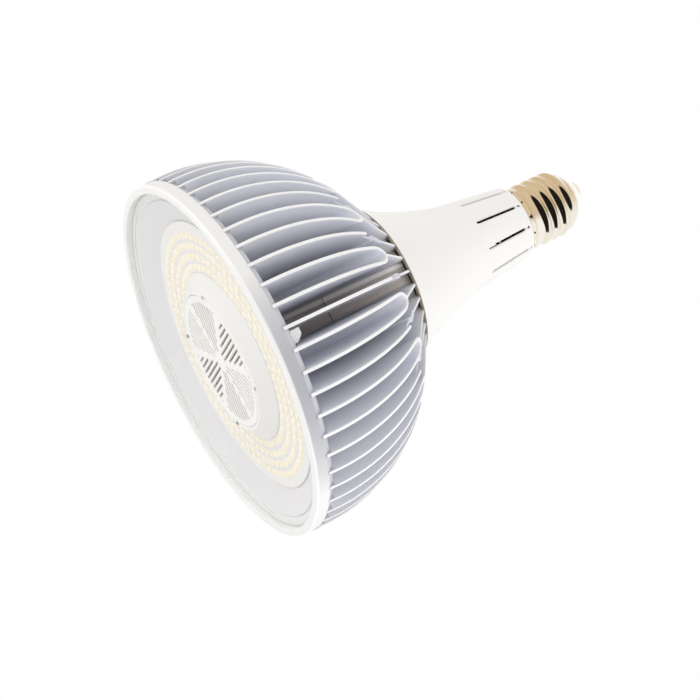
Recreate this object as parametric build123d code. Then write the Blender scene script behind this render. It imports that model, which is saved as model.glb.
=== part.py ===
from build123d import *
import os
from math import asin, cos, degrees, radians, sin, sqrt

# LED lamp with a mogul screw cap. Millimetres, +Z from the flat rim to the screw cap.
# The origin is the centre of the rim's front face.

# Lens seat, rim and flange
lens_radius = 100.0
lens_thickness = 2.5
lens_recess = 1.0
lens_play = 0.4
gasket_thickness = 0.8
gasket_width = 2.4
seat_width = 3.0
lip_width = 4.6
rim_band = 7.8
rim_chamfer = 0.8
flange_back = 11.0
flange_step = 2.0
bore_radius = lens_radius + lens_play
rim_radius = bore_radius + lip_width
seat_inner = lens_radius - seat_width
lens_back = lens_recess + lens_thickness
ledge_z = lens_back + gasket_thickness

# Conical wall, and the deck that carries the lamp board
wall_run = 16.2
wall_foot = 3.2
wall_back_run = 8.0
deck_margin = 1.5
board_front = 10.8
board_thickness = 1.6
board_play = 0.4
pad_thickness = 0.5
pad_inset = 0.5
deck_thickness = 3.6
air_hole_radius = 38.8
deck_edge = seat_inner - wall_run
board_outer_radius = deck_edge - deck_margin
deck_slope_radius = deck_edge + wall_foot
flange_inner_radius = deck_slope_radius + wall_back_run
deck_front = board_front + board_thickness + pad_thickness
deck_back = deck_front + deck_thickness

# Emitters, in rings spread evenly between the board's edges
ring_counts = [54, 60, 66, 72]
ring_inner_margin = 2.7
ring_outer_margin = 7.2
emitter_width = 2.8
emitter_length = 3.2
emitter_height = 0.75

# Core, in two parts with a seam between them
core_wall = 2.0
core_foot_reach = 10.7
core_top_radius = 42.0
core_height = 92.2
seam_rise = 36.0
seam_gap = 3.5
spigot_depth = 6.0
spigot_gap = 0.2
can_floor = 2.5
vent_count = 6
vent_radius = 5.0
vent_place = 30.0
slide_rib = 1.6
slide_height = 6.0
slide_gap = 0.2
slide_inset = 6.0
core_foot_radius = air_hole_radius + core_foot_reach
fin_top_z = deck_back + core_height
seam_low = deck_back + seam_rise
seam_high = seam_low + seam_gap

# Fins: a straight one and a forked one in each group
groups = 18
first_fin_angle = -82.5
fin_thickness = 1.8
inner_fin_thickness = 1.5
fork_radius = 77.3
fork_setback = 0.8
pad_radius = 1.7
pad_drop = 1.7
fin_root = 1.6
fin_gap = 0.3
fin_top_reach = 4.8
pad_place = fork_radius - fork_setback
fin_top_radius = core_top_radius + fin_top_reach

# Bowl: a round side, then a straight cone up to the neck
bowl_bulge = 1.0
bowl_side_radius = 99.2
bowl_widest = 16.0
shoulder_drop = 19.7
bowl_radius = rim_radius + bowl_bulge
bowl_centre = bowl_radius - bowl_side_radius
shoulder_z = fin_top_z - shoulder_drop

# Air shroud, its screws and the grille
shroud_top_radius = 42.2
shroud_run = 8.0
shroud_setback = 0.1
shroud_skirt = 0.6
shroud_wall = 2.2
grille_rim = 2.5
grille_thickness = 2.0
grille_play = 0.2
grille_sink = 0.1
grille_ledge = 1.8
ledge_thickness = 1.5
slot_sectors = 6
slots_per_sector = 10
slot_pitch = 3.3
slot_width = 1.6
slot_rim = 3.7
slot_sector_angle = -93.0
slot_half_angle = 27.8
slot_inner_offset = 1.5
screw_count = 4
screw_angle = -141.0
screw_head_radius = 1.15
screw_head_height = 0.7
screw_shank_radius = 0.8
screw_length = 2.6
lens_hole_play = 0.4
shroud_foot_radius = shroud_top_radius + shroud_run
shroud_top = lens_back + shroud_setback
shroud_shoulder = board_front - shroud_skirt
grille_seat = shroud_top_radius - grille_rim
grille_radius = grille_seat - grille_play
screw_place = (grille_seat + shroud_top_radius) / 2

# Reflector and its snap hooks
reflector_thickness = 1.0
reflector_gap = 0.1
reflector_top_inset = 2.0
reflector_foot_inset = 0.3
hook_count = 6
hook_width = 7.0
hook_leg = 1.6
hook_inset = 2.4
barb_reach = 1.9
barb_height = 7.0
barb_chamfer = 3.4
hook_play = 0.3
hook_radius = seat_inner - hook_inset

# Fan
frame_play = 3.0
frame_bore_wall = 1.2
frame_height = 25.0
frame_flange = 3.0
strut_count = 4
strut_width = 4.0
strut_height = 3.0
strut_root = 1.0
hub_seat_radius = 17.0
blade_count = 7
blade_pitch = 40.0
blade_thickness = 1.2
blade_clearance = 0.9
blade_width = 16.0
hub_radius = 16.0
hub_wall = 1.4
hub_height = 14.0
magnet_thickness = 1.8
magnet_height = 8.0
shaft_radius = 1.5
shaft_gap = 0.05
bearing_radius = 4.0
bearing_height = 10.0
pole_count = 4
pole_radius = 11.4
pole_tip = 2.0
pole_web = 3.4
stator_height = 6.0
circuit_radius = 12.0
circuit_thickness = 1.0
hub_gap = 1.2
rotor_run_gap = 1.0
circuit_gap = 0.1
stator_gap = 0.4
shaft_end_gap = 1.3
frame_radius = core_foot_radius - core_wall - frame_play

# Neck housing: a flare, then a straight cone with the slots
neck_gap = 0.1
neck_foot_overhang = 0.7
neck_length = 93.3
neck_cone_length = 33.5
neck_cone_flare = 4.2
neck_shoulder = 2.55
neck_wall = 2.2
neck_lip = 5.0
neck_lip_height = 2.6
neck_slots = 10
neck_slot_angle = -101.2
neck_slot_width = 1.8
neck_slot_length = 28.0
neck_slot_drop = 5.0
neck_hole_drop = 2.4
neck_hole_radius = 0.9
neck_top_z = fin_top_z + neck_length
neck_bend_z = neck_top_z - neck_cone_length
neck_foot_radius = fin_top_radius + neck_foot_overhang

# Screw cap
thread_pitch = 6.35
thread_minor = 17.85
thread_depth = 1.8
thread_turns = 4.3
thread_phase = -149.0
thread_lead_in = 7.0
thread_runout = 3.095
shell_wall = 0.6
skirt_flare = 1.6
skirt_height = 4.3
skirt_taper = 1.2
skirt_gap = 0.3
cap_spigot_length = 4.0
shell_lip_radius = 14.2
shell_lip_rise = 4.0
insulator_gap = 0.05
insulator_foot = 3.0
insulator_land = 1.4
insulator_rise = 2.8
insulator_step = 0.6
contact_radius = 7.6
contact_height = 2.8
contact_dome = 1.6
skirt_radius = thread_minor + skirt_flare
neck_top_radius = skirt_radius + neck_shoulder
skirt_low = neck_top_z + skirt_gap
skirt_top = skirt_low + skirt_height
thread_start = neck_top_z + thread_lead_in
shell_shoulder_z = thread_start + thread_pitch * thread_turns + thread_runout
shell_lip_z = shell_shoulder_z + shell_lip_rise
insulator_top = shell_lip_z + insulator_rise
insulator_top_radius = contact_radius + insulator_land

# Driver
board_low_gap = 0.1
driver_thickness = 1.6
driver_side_gap = 9.0
driver_shoulder = 3.3
driver_high_half = 17.0
driver_reach = 56.3
transformer_width = 30.0
transformer_depth = 22.0
transformer_height = 28.0
transformer_rise = 25.5
transformer_leg = 6.0
coil_gap = 0.2
coil_round = 2.5
capacitor_radius = 8.0
capacitor_depth = 22.0
capacitor_rise = 13.3
capacitor_spacing = 19.0
bead_height = 1.0
choke_radius = 11.0
choke_hole = 5.0
choke_depth = 9.0
chip_width = 10.0
chip_depth = 4.6
chip_height = 15.0
chip_spacing = 16.0
chip_rise = 3.3
spreader_thickness = 2.0
spreader_margin = 2.0
driver_low_half = core_top_radius - driver_side_gap
driver_low_top = fin_top_z + driver_shoulder
driver_top = fin_top_z + driver_reach
transformer_z = seam_high + can_floor + transformer_rise
capacitor_z = fin_top_z + capacitor_rise
chip_z = fin_top_z + chip_rise


def ring_face(points):
    """A closed flat outline in the plane of radius and height."""
    return Plane.XZ * make_face(Polyline(*points, close=True))


def turned(points):
    """A solid of revolution about Z from points of radius and height."""
    return revolve(ring_face(points), Axis.Z)


def tube(outer, inner, low, high):
    """A round tube about Z."""
    return turned([(inner, low), (outer, low), (outer, high), (inner, high)])


def disc(radius, low, high):
    """A round disc about Z."""
    return turned([(0, low), (radius, low), (radius, high), (0, high)])


def block(x, y, z, low, at_x=0.0, at_y=0.0):
    """A box centred on x and y that stands at the height low."""
    return Pos(at_x, at_y, low + z / 2) * Box(x, y, z)


def post(radius, low, high, at_x=0.0, at_y=0.0):
    """A round post along Z."""
    return Pos(at_x, at_y, (low + high) / 2) * Cylinder(radius, high - low)


def around(shape, count, first=0.0):
    """Evenly turned copies of a shape about Z."""
    return [Rot(0, 0, first + 360.0 * k / count) * shape for k in range(count)]


def bowl_edge(z):
    """Radius of the round side of the bowl at a height."""
    return bowl_centre + sqrt(bowl_side_radius**2 - (z - bowl_widest) ** 2)


def bowl_rise(r):
    """Height of the round side of the bowl at a radius."""
    return bowl_widest + sqrt(bowl_side_radius**2 - (r - bowl_centre) ** 2)


def cone_rise(r):
    """Height of the bowl's straight cone at a radius."""
    share = (r - fin_top_radius) / (bowl_edge(shoulder_z) - fin_top_radius)
    return fin_top_z + (shoulder_z - fin_top_z) * share


def core_edge(z):
    """Outer radius of the core at a height."""
    share = (z - deck_back) / (fin_top_z - deck_back)
    return core_foot_radius + (core_top_radius - core_foot_radius) * share


def save(name, shape):
    """Writes one piece and remembers that it was made."""
    export_step(shape, "parts/" + name + ".step")
    made.append(name)


os.makedirs("parts", exist_ok=True)
made = []

# Places that several pieces share
wall_rise = deck_front - ledge_z
wall_length = sqrt(wall_run**2 + wall_rise**2)
along = (-wall_run / wall_length, wall_rise / wall_length)
inward = (-wall_rise / wall_length, -wall_run / wall_length)
group_angle = 360.0 / groups
fin_angle = group_angle / 3
hook_angle = first_fin_angle + fin_angle / 2


def on_slope(run, depth, from_foot=False):
    """A point beside the conical wall, by its way along it and its depth in front."""
    base = (deck_edge, deck_front) if from_foot else (seat_inner, ledge_z)
    r = base[0] + along[0] * run + inward[0] * depth
    z = base[1] + along[1] * run + inward[1] * depth
    return (r, z)


# Heat sink base: rim, lens seat, conical wall, deck
base = turned(
    [
        (bore_radius, 0),
        (rim_radius - rim_chamfer, 0),
        (rim_radius, rim_chamfer),
        (rim_radius, rim_band),
        (rim_radius - flange_step, flange_back),
        (flange_inner_radius, flange_back),
        (deck_slope_radius, deck_back),
        (air_hole_radius, deck_back),
        (air_hole_radius, deck_front),
        (deck_edge, deck_front),
        (seat_inner, ledge_z),
        (bore_radius, ledge_z),
    ]
)
window_width = hook_width + 2 * hook_play
window_reach = flange_back - ledge_z
window = block(hook_leg + 2 * hook_play, window_width, 2 * window_reach, ledge_z - window_reach / 2)
for hole in around(Pos(hook_radius + hook_leg / 2, 0, 0) * window, hook_count, hook_angle):
    base -= hole

# Fin outline, from the rim up the bowl's side, over the cone and down the core to the base
side_start = degrees(asin((rim_band - bowl_widest) / bowl_side_radius))
side_end = degrees(asin((shoulder_z - bowl_widest) / bowl_side_radius))
side = CenterArc((bowl_centre, bowl_widest), bowl_side_radius, side_start, side_end - side_start)
inner_line = Polyline(
    side @ 1,
    (fin_top_radius, fin_top_z),
    (core_edge(fin_top_z) + fin_gap, fin_top_z),
    (core_edge(deck_back) + fin_gap, deck_back),
    (core_edge(deck_back) + fin_gap, deck_back - fin_root),
    (deck_slope_radius, deck_back - fin_root),
    (flange_inner_radius, flange_back - fin_root),
    (rim_radius - flange_step, flange_back - fin_root),
    (rim_radius - flange_step / 2, rim_band),
    side @ 0,
)
fin_outline = Plane.XZ * make_face(side + inner_line)
outer_wall = extrude(fin_outline, amount=fin_thickness / 2, both=True)
inner_wall = extrude(fin_outline, amount=inner_fin_thickness / 2, both=True)


def beyond(radius):
    """All the room of a fin outside a radius."""
    reach = bowl_radius + bowl_bulge
    return block(reach - radius, reach, 2 * fin_top_z, -deck_back, (reach + radius) / 2)


# Straight fin: thick outside its pad, thin inside it
pad_top = bowl_rise(pad_place + pad_drop)
straight = (outer_wall & beyond(pad_place)) + (inner_wall - beyond(pad_place))
straight += post(pad_radius, deck_back - fin_root, pad_top, pad_place)

# Forked fin: two arms that run into a round bend, and a thin stem from the bend to the core
half_fork = fin_angle / 2
bend_centre = fork_radius / cos(radians(half_fork))
bend_radius = bend_centre * sin(radians(half_fork))
bend_start = 90 + half_fork
bend_arc = 180 - fin_angle
bend_outer = CenterArc((bend_centre, 0), bend_radius + fin_thickness / 2, bend_start, bend_arc)
bend_inner = CenterArc((bend_centre, 0), bend_radius - fin_thickness / 2, bend_start, bend_arc)
bend_ends = Line(bend_outer @ 0, bend_inner @ 0) + Line(bend_outer @ 1, bend_inner @ 1)
bend = extrude(make_face(bend_outer + bend_inner + bend_ends), amount=fin_top_z)
bend_far = bend_centre - bend_radius - fin_thickness / 2
bend_near = fork_radius * cos(radians(half_fork))
bend_slope = (cone_rise(bend_far) - bowl_rise(fork_radius)) / (bend_near - bend_far)
bend_room = Plane.XZ * make_face(
    Polyline(
        (bend_far - fin_thickness, deck_back - fin_root),
        (bend_centre, deck_back - fin_root),
        (bend_centre, bowl_rise(fork_radius) - bend_slope * (bend_centre - bend_near)),
        (bend_far - fin_thickness, cone_rise(bend_far) + bend_slope * fin_thickness),
        close=True,
    )
)
bend = bend & extrude(bend_room, amount=2 * bend_radius, both=True)
stem = inner_wall - beyond(bend_centre - bend_radius)
arm = outer_wall & beyond(fork_radius)
forked = bend + stem + Rot(0, 0, half_fork) * arm + Rot(0, 0, -half_fork) * arm

fins = around(straight, groups, first_fin_angle) + around(forked, groups, first_fin_angle + group_angle / 2)
heat_sink = base + fins
save("heat_sink", heat_sink)

# Lens and gasket
lens_hole = shroud_top_radius + lens_hole_play
lens_cover = tube(lens_radius, lens_hole, lens_recess, lens_back)
save("lens_cover", lens_cover)
gasket_outer = lens_radius - lens_play
lens_gasket = tube(gasket_outer, gasket_outer - gasket_width, lens_back, ledge_z)
save("lens_gasket", lens_gasket)

# Reflector: a thin cone on the wall, with hooks through the flange
reflector = turned(
    [
        on_slope(reflector_top_inset, reflector_gap),
        on_slope(reflector_top_inset, reflector_gap + reflector_thickness),
        on_slope(-reflector_foot_inset, reflector_gap + reflector_thickness, True),
        on_slope(-reflector_foot_inset, reflector_gap, True),
    ]
)
leg_low = on_slope(reflector_top_inset, reflector_gap + reflector_thickness / 2)[1]
barb_low = flange_back + hook_play / 2
leg = block(hook_leg, hook_width, barb_low - leg_low, leg_low, hook_radius + hook_leg / 2)
barb_outline = Plane.YZ * make_face(
    Polyline(
        (-hook_width / 2, barb_low),
        (hook_width / 2, barb_low),
        (hook_width / 2, barb_low + barb_height - barb_chamfer),
        (hook_width / 2 - barb_chamfer, barb_low + barb_height),
        (-hook_width / 2, barb_low + barb_height),
        close=True,
    )
)
barb = Pos(hook_radius, 0, 0) * extrude(barb_outline, amount=hook_leg + barb_reach)
reflector = reflector + around(leg + barb, hook_count, hook_angle)
save("reflector", reflector)

# Lamp board, thermal pad and emitters
board_inner = shroud_foot_radius + board_play
led_board = tube(board_outer_radius, board_inner, board_front, board_front + board_thickness)
save("led_board", led_board)
board_back = board_front + board_thickness
thermal_pad = tube(board_outer_radius - pad_inset, board_inner + pad_inset, board_back, deck_front)
save("thermal_pad", thermal_pad)
first_ring = board_inner + ring_inner_margin
last_ring = board_outer_radius - ring_outer_margin
for number, count in enumerate(ring_counts, start=1):
    radius = first_ring + (last_ring - first_ring) * (number - 1) / (len(ring_counts) - 1)
    emitter = block(emitter_width, emitter_length, emitter_height, board_front - emitter_height, radius)
    save("led_ring_" + str(number), Compound(children=around(emitter, count)))

# Air shroud with its grille and screws
grille_front = shroud_top + grille_sink
grille_back = grille_front + grille_thickness
ledge_back = grille_back + ledge_thickness
shoulder_inner = shroud_foot_radius - shroud_wall
shroud = turned(
    [
        (shroud_foot_radius, deck_front),
        (shroud_foot_radius, shroud_shoulder),
        (shroud_top_radius, shroud_top),
        (grille_seat, shroud_top),
        (grille_seat, grille_back),
        (grille_seat - grille_ledge, grille_back),
        (grille_seat - grille_ledge, ledge_back),
        (screw_place + 2 * screw_shank_radius, ledge_back),
        (shoulder_inner, shroud_shoulder + shroud_wall / 2),
        (shoulder_inner, deck_front),
    ]
)
screw_hole = post(screw_shank_radius, shroud_top - 1, shroud_top + screw_length, screw_place)
for hole in around(screw_hole, screw_count, screw_angle):
    shroud -= hole
save("air_shroud", shroud)

screw = post(screw_head_radius, shroud_top - screw_head_height, shroud_top, screw_place)
screw += post(screw_shank_radius, shroud_top, shroud_top + screw_length, screw_place)
save("shroud_screws", Compound(children=around(screw, screw_count, screw_angle)))

slot_cuts = []
for k in range(slots_per_sector):
    off = (k - (slots_per_sector - 1) / 2) * slot_pitch
    edge = abs(off) + slot_width / 2
    low = edge / sin(radians(slot_half_angle)) * cos(radians(slot_half_angle)) + slot_inner_offset
    high = sqrt((grille_radius - slot_rim) ** 2 - edge**2)
    slot_cuts.append(Pos((low + high) / 2, off) * Rectangle(high - low, slot_width))
sector_slots = Sketch() + slot_cuts
slots = Sketch() + around(sector_slots, slot_sectors, slot_sector_angle)
grille = Pos(0, 0, grille_front) * extrude(Circle(grille_radius) - slots, amount=grille_thickness)
save("air_grille", grille)

# Fan, carried on the back of the deck
fan_low = deck_back
fan_high = fan_low + frame_height
frame_bore = air_hole_radius + frame_bore_wall
seat_low = fan_high - strut_height
fan_frame = tube(frame_bore + core_wall, frame_bore, fan_low, fan_high)
fan_frame += tube(frame_radius, frame_bore, fan_low, fan_low + frame_flange)
fan_frame += disc(hub_seat_radius, seat_low, fan_high)
strut_length = frame_bore - hub_seat_radius + 2 * strut_root
strut = block(strut_length, strut_width, strut_height, seat_low, (hub_seat_radius + frame_bore) / 2)
fan_frame += around(strut, strut_count, 45)
bearing_low = seat_low - bearing_height
fan_frame -= disc(shaft_radius + shaft_gap, seat_low - 1, fan_high - 1)
save("fan_frame", fan_frame)

fan_bearing = tube(bearing_radius, shaft_radius + shaft_gap, bearing_low, seat_low)
save("fan_bearing", fan_bearing)

circuit_high = seat_low - circuit_gap
circuit_low = circuit_high - circuit_thickness
fan_circuit = tube(circuit_radius, bearing_radius + 0.05, circuit_low, circuit_high)
save("fan_circuit_board", fan_circuit)

stator_high = circuit_low - stator_gap
stator_low = stator_high - stator_height
pole = Pos(pole_radius / 2, 0) * Rectangle(pole_radius, pole_web)
tip = Circle(pole_radius) - Circle(pole_radius - pole_tip)
tip_reach = 2 * pole_radius
tip = tip & make_face(Polyline((0, 0), (tip_reach, -tip_reach), (tip_reach, tip_reach), close=True))
stator_outline = Circle(bearing_radius + 2) + around(pole + tip, pole_count)
stator_outline = (stator_outline & Circle(pole_radius)) - Circle(bearing_radius + 0.05)
fan_stator = Pos(0, 0, stator_low) * extrude(stator_outline, amount=stator_height)
save("fan_stator", fan_stator)

hub_high = seat_low - hub_gap
hub_low = hub_high - hub_height
fan_rotor = disc(hub_radius, hub_low, hub_high)
fan_rotor -= disc(hub_radius - hub_wall, hub_low + hub_wall, hub_high + 1)
fan_rotor -= disc(shaft_radius, hub_low - 1, hub_high)
blade_tip = frame_bore - blade_clearance
blade_mid = (hub_low + hub_high) / 2
blade_length = blade_tip - hub_radius + hub_wall
blade = Box(blade_length, blade_width, blade_thickness)
blade = Pos((blade_tip + hub_radius) / 2, 0, blade_mid) * (Rot(blade_pitch, 0, 0) * blade)
blade_room = tube(blade_tip, hub_radius - hub_wall / 2, fan_low + rotor_run_gap, hub_high)
blade = blade & blade_room
fan_rotor = fan_rotor + around(blade, blade_count, 12)
save("fan_rotor", fan_rotor)

magnet_outer = hub_radius - hub_wall
magnet_low = hub_low + hub_wall
rotor_magnet = tube(magnet_outer, magnet_outer - magnet_thickness, magnet_low, magnet_low + magnet_height)
save("rotor_magnet", rotor_magnet)

fan_shaft = disc(shaft_radius, hub_low, fan_high - shaft_end_gap)
save("fan_shaft", fan_shaft)

# Core: air duct below the seam, driver can above it
fan_duct = turned(
    [
        (core_edge(deck_back), deck_back),
        (core_edge(seam_low), seam_low),
        (core_edge(seam_low) - core_wall, seam_low),
        (core_edge(deck_back) - core_wall, deck_back),
    ]
)
save("fan_duct", fan_duct)

spigot_radius = core_edge(seam_low) - core_wall - spigot_gap
can_top = fin_top_z
floor_top = seam_high + can_floor
driver_can = turned(
    [
        (0, seam_high),
        (spigot_radius - core_wall, seam_high),
        (spigot_radius - core_wall, seam_low - spigot_depth),
        (spigot_radius, seam_low - spigot_depth),
        (spigot_radius, seam_high),
        (core_edge(seam_high), seam_high),
        (core_edge(can_top), can_top),
        (core_edge(can_top) - core_wall, can_top),
        (core_edge(floor_top) - core_wall, floor_top),
        (0, floor_top),
    ]
)
vent = post(vent_radius, seam_high - 1, floor_top + 1, vent_place)
for hole in around(vent, vent_count, 180.0 / vent_count):
    driver_can -= hole
slide_y = driver_thickness / 2 + slide_gap + slide_rib / 2
for y in (-slide_y, slide_y):
    driver_can += block(2 * (driver_low_half - slide_inset), slide_rib, slide_height, floor_top, 0, y)
save("driver_can", driver_can)

# Driver board and what it carries
board_low = floor_top + board_low_gap
driver_outline = Plane.XZ * make_face(
    Polyline(
        (-driver_low_half, board_low),
        (driver_low_half, board_low),
        (driver_low_half, driver_low_top),
        (driver_high_half, driver_top),
        (-driver_high_half, driver_top),
        (-driver_low_half, driver_low_top),
        close=True,
    )
)
driver_board = extrude(driver_outline, amount=driver_thickness / 2, both=True)
save("driver_board", driver_board)

face_y = driver_thickness / 2
iron_low = transformer_z - transformer_height / 2
iron_y = face_y + transformer_depth / 2
coil_room_width = transformer_width - 2 * transformer_leg
coil_room_height = transformer_height - 2 * transformer_leg
transformer_core = block(transformer_width, transformer_depth, transformer_height, iron_low, 0, iron_y)
transformer_core -= block(
    coil_room_width, 2 * transformer_depth, coil_room_height, iron_low + transformer_leg, 0, iron_y
)
save("transformer_core", transformer_core)
coil_width = coil_room_width - 2 * coil_gap
coil_height = coil_room_height - 2 * coil_gap
coil = block(coil_width, transformer_depth, coil_height, iron_low + transformer_leg + coil_gap, 0, iron_y)
coil = chamfer(coil.edges().filter_by(Axis.Z), coil_round)
save("transformer_coil", coil)

for number, side_sign in enumerate((-1, 1), start=1):
    x = side_sign * capacitor_spacing / 2
    can_y = face_y + capacitor_depth / 2
    capacitor = Pos(x, can_y, capacitor_z) * (Rot(90, 0, 0) * Cylinder(capacitor_radius, capacitor_depth))
    far_edge = capacitor.edges().filter_by(GeomType.CIRCLE).sort_by(Axis.Y)[-1]
    capacitor = chamfer(far_edge, bead_height)
    save("capacitor_" + str(number), capacitor)

choke_y = -face_y - choke_depth / 2
choke = Cylinder(choke_radius, choke_depth) - Cylinder(choke_hole, 2 * choke_depth)
choke = Pos(0, choke_y, transformer_z) * (Rot(90, 0, 0) * choke)
save("choke", choke)

chips = []
for side_sign in (-1, 1):
    chip_y = -face_y - spreader_thickness - chip_depth / 2
    chips.append(block(chip_width, chip_depth, chip_height, chip_z, side_sign * chip_spacing / 2, chip_y))
save("power_transistors", Compound(children=chips))
spreader_y = -face_y - spreader_thickness / 2
spreader_width = chip_spacing + chip_width + 2 * spreader_margin
spreader_height = chip_height + 2 * spreader_margin
spreader = block(spreader_width, spreader_thickness, spreader_height, chip_z - spreader_margin, 0, spreader_y)
save("heat_spreader", spreader)

# Neck housing
neck_foot_z = fin_top_z + neck_gap
neck_bend_radius = neck_top_radius + neck_cone_flare
cone_direction = (neck_cone_flare, -neck_cone_length)
inner_top = (neck_top_radius - neck_wall, neck_top_z - neck_wall)
inner_bend = (neck_bend_radius - neck_wall, neck_bend_z)
inner_foot = (neck_foot_radius - neck_wall, neck_foot_z + neck_lip_height)
outer_bend = (neck_bend_radius, neck_bend_z)
outer_foot = (neck_foot_radius, neck_foot_z)
outer_flare = TangentArc(outer_bend, outer_foot, tangent=cone_direction)
middle = outer_flare @ 0.5
inner_flare = Polyline(inner_bend, (middle.X - neck_wall, middle.Y), inner_foot)
cap_spigot = skirt_radius - shell_wall - skirt_gap
lip_radius = core_edge(can_top) - core_wall - spigot_gap
neck_low_line = Polyline(
    (neck_foot_radius, neck_foot_z),
    (lip_radius, neck_foot_z),
    (lip_radius, neck_foot_z - neck_lip),
    (lip_radius - neck_wall, neck_foot_z - neck_lip),
    (lip_radius - neck_wall, inner_foot[1]),
    inner_foot,
)
neck_high_line = Polyline(
    inner_bend,
    inner_top,
    (cap_spigot - neck_wall, inner_top[1]),
    (cap_spigot - neck_wall, neck_top_z + cap_spigot_length),
    (cap_spigot, neck_top_z + cap_spigot_length),
    (cap_spigot, neck_top_z),
    (neck_top_radius, neck_top_z),
    (neck_bend_radius, neck_bend_z),
)
neck_face = Plane.XZ * make_face(outer_flare + neck_low_line + inner_flare + neck_high_line)
neck = revolve(neck_face, Axis.Z)
neck_slot = extrude(SlotOverall(neck_slot_length, neck_slot_width), amount=neck_foot_radius)
neck_slot = Pos(0, 0, neck_top_z - neck_slot_drop - neck_slot_length / 2) * (Rot(0, 90, 0) * neck_slot)
neck_hole = extrude(Circle(neck_hole_radius), amount=neck_foot_radius)
neck_hole = Pos(0, 0, neck_top_z - neck_hole_drop) * (Rot(0, 90, 0) * neck_hole)
neck = neck - around(neck_slot, neck_slots, neck_slot_angle) - around(neck_hole, neck_slots, neck_slot_angle)
save("neck_housing", neck)

# Screw shell: a turned blank with a rolled thread swept on it
blank = turned(
    [
        (skirt_radius - shell_wall, skirt_low),
        (skirt_radius, skirt_low),
        (skirt_radius, skirt_top),
        (thread_minor, skirt_top + skirt_taper),
        (thread_minor, shell_shoulder_z),
        (shell_lip_radius, shell_lip_z),
        (shell_lip_radius - shell_wall, shell_lip_z),
        (thread_minor - shell_wall, shell_shoulder_z - shell_wall),
        (thread_minor - shell_wall, skirt_top + skirt_taper),
        (skirt_radius - shell_wall, skirt_top),
    ]
)
helix = Helix(thread_pitch, thread_pitch * thread_turns, thread_minor)
helix = Pos(0, 0, thread_start) * (Rot(0, 0, thread_phase) * helix)
outward = Vector((helix @ 0).X, (helix @ 0).Y, 0)
ridge_plane = Plane(origin=helix @ 0, x_dir=outward, z_dir=helix % 0)
ridge = ridge_plane * make_face(
    Polyline(
        (-shell_wall / 2, -thread_pitch * 0.36),
        (thread_depth, -thread_pitch * 0.1),
        (thread_depth, thread_pitch * 0.1),
        (-shell_wall / 2, thread_pitch * 0.36),
        close=True,
    )
)
screw_shell = blank + sweep(ridge, path=helix, is_frenet=True)
save("screw_shell", screw_shell)

# Insulator and centre contact
insulator_low = shell_shoulder_z - shell_wall - insulator_foot
insulator_radius = thread_minor - shell_wall - insulator_gap
insulator_neck = shell_lip_radius - shell_wall - insulator_gap
insulator = turned(
    [
        (0, insulator_low),
        (insulator_radius, insulator_low),
        (insulator_radius, shell_shoulder_z - shell_wall - insulator_gap),
        (insulator_neck, shell_lip_z - insulator_gap),
        (insulator_neck, shell_lip_z + insulator_step),
        (insulator_top_radius, insulator_top),
        (0, insulator_top),
    ]
)
save("base_insulator", insulator)
contact = disc(contact_radius, insulator_top, insulator_top + contact_height)
top_edge = contact.edges().filter_by(GeomType.CIRCLE).sort_by(Axis.Z)[-1]
contact = chamfer(top_edge, contact_dome)
save("centre_contact", contact)

print(len(made), "pieces")
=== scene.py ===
import logging
import math
from dataclasses import dataclass, field
from enum import Enum
from typing import Callable

import bpy
import numpy as np
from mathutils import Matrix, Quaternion, Vector


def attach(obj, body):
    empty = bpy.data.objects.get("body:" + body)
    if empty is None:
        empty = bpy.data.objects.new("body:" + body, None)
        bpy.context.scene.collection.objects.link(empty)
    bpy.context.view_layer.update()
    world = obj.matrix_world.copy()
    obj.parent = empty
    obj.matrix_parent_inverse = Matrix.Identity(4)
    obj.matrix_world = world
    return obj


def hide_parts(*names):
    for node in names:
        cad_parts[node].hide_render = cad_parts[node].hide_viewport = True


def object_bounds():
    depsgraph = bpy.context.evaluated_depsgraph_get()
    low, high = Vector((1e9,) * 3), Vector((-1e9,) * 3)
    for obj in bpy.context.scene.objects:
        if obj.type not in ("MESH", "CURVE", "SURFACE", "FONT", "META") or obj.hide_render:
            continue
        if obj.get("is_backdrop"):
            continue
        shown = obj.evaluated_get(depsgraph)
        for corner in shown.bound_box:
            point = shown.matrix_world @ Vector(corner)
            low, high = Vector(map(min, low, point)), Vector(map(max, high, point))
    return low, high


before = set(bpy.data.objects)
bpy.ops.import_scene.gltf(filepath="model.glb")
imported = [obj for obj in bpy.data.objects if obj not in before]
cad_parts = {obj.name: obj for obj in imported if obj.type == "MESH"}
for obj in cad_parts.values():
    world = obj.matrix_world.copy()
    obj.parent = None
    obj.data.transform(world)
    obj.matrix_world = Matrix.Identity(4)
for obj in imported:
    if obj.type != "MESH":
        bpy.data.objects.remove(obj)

LOG = logging.getLogger("lamp")
MM = 0.001
TURN = 2.0 * math.pi
CLOSE = 1e-6
NOISE_USED = (0.3, 0.7)  # the part of a noise's range that roughness follows
Pair = tuple[float, float]
Triple = tuple[float, float, float]
Outline = tuple[Triple, ...]  # radius, height and rounding of each corner, in millimetres


# Shader maths

def maths(operation: str, swap: bool = False) -> Callable[..., "Sock"]:
    """Makes a method of Sock that adds one Math node.

    Args:
        operation: the node's operation.
        swap: true when the plain number stands first.

    Returns:
        The method; its further operand is a socket or a number.
    """
    def method(sock: "Sock", *others: object) -> "Sock":
        """The node's result."""
        values = [*others, sock] if swap else [sock, *others]
        made = sock.tree.node("ShaderNodeMath", {"operation": operation}, dict(enumerate(values)))
        return Sock(sock.tree, made.outputs[0])

    return method


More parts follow.
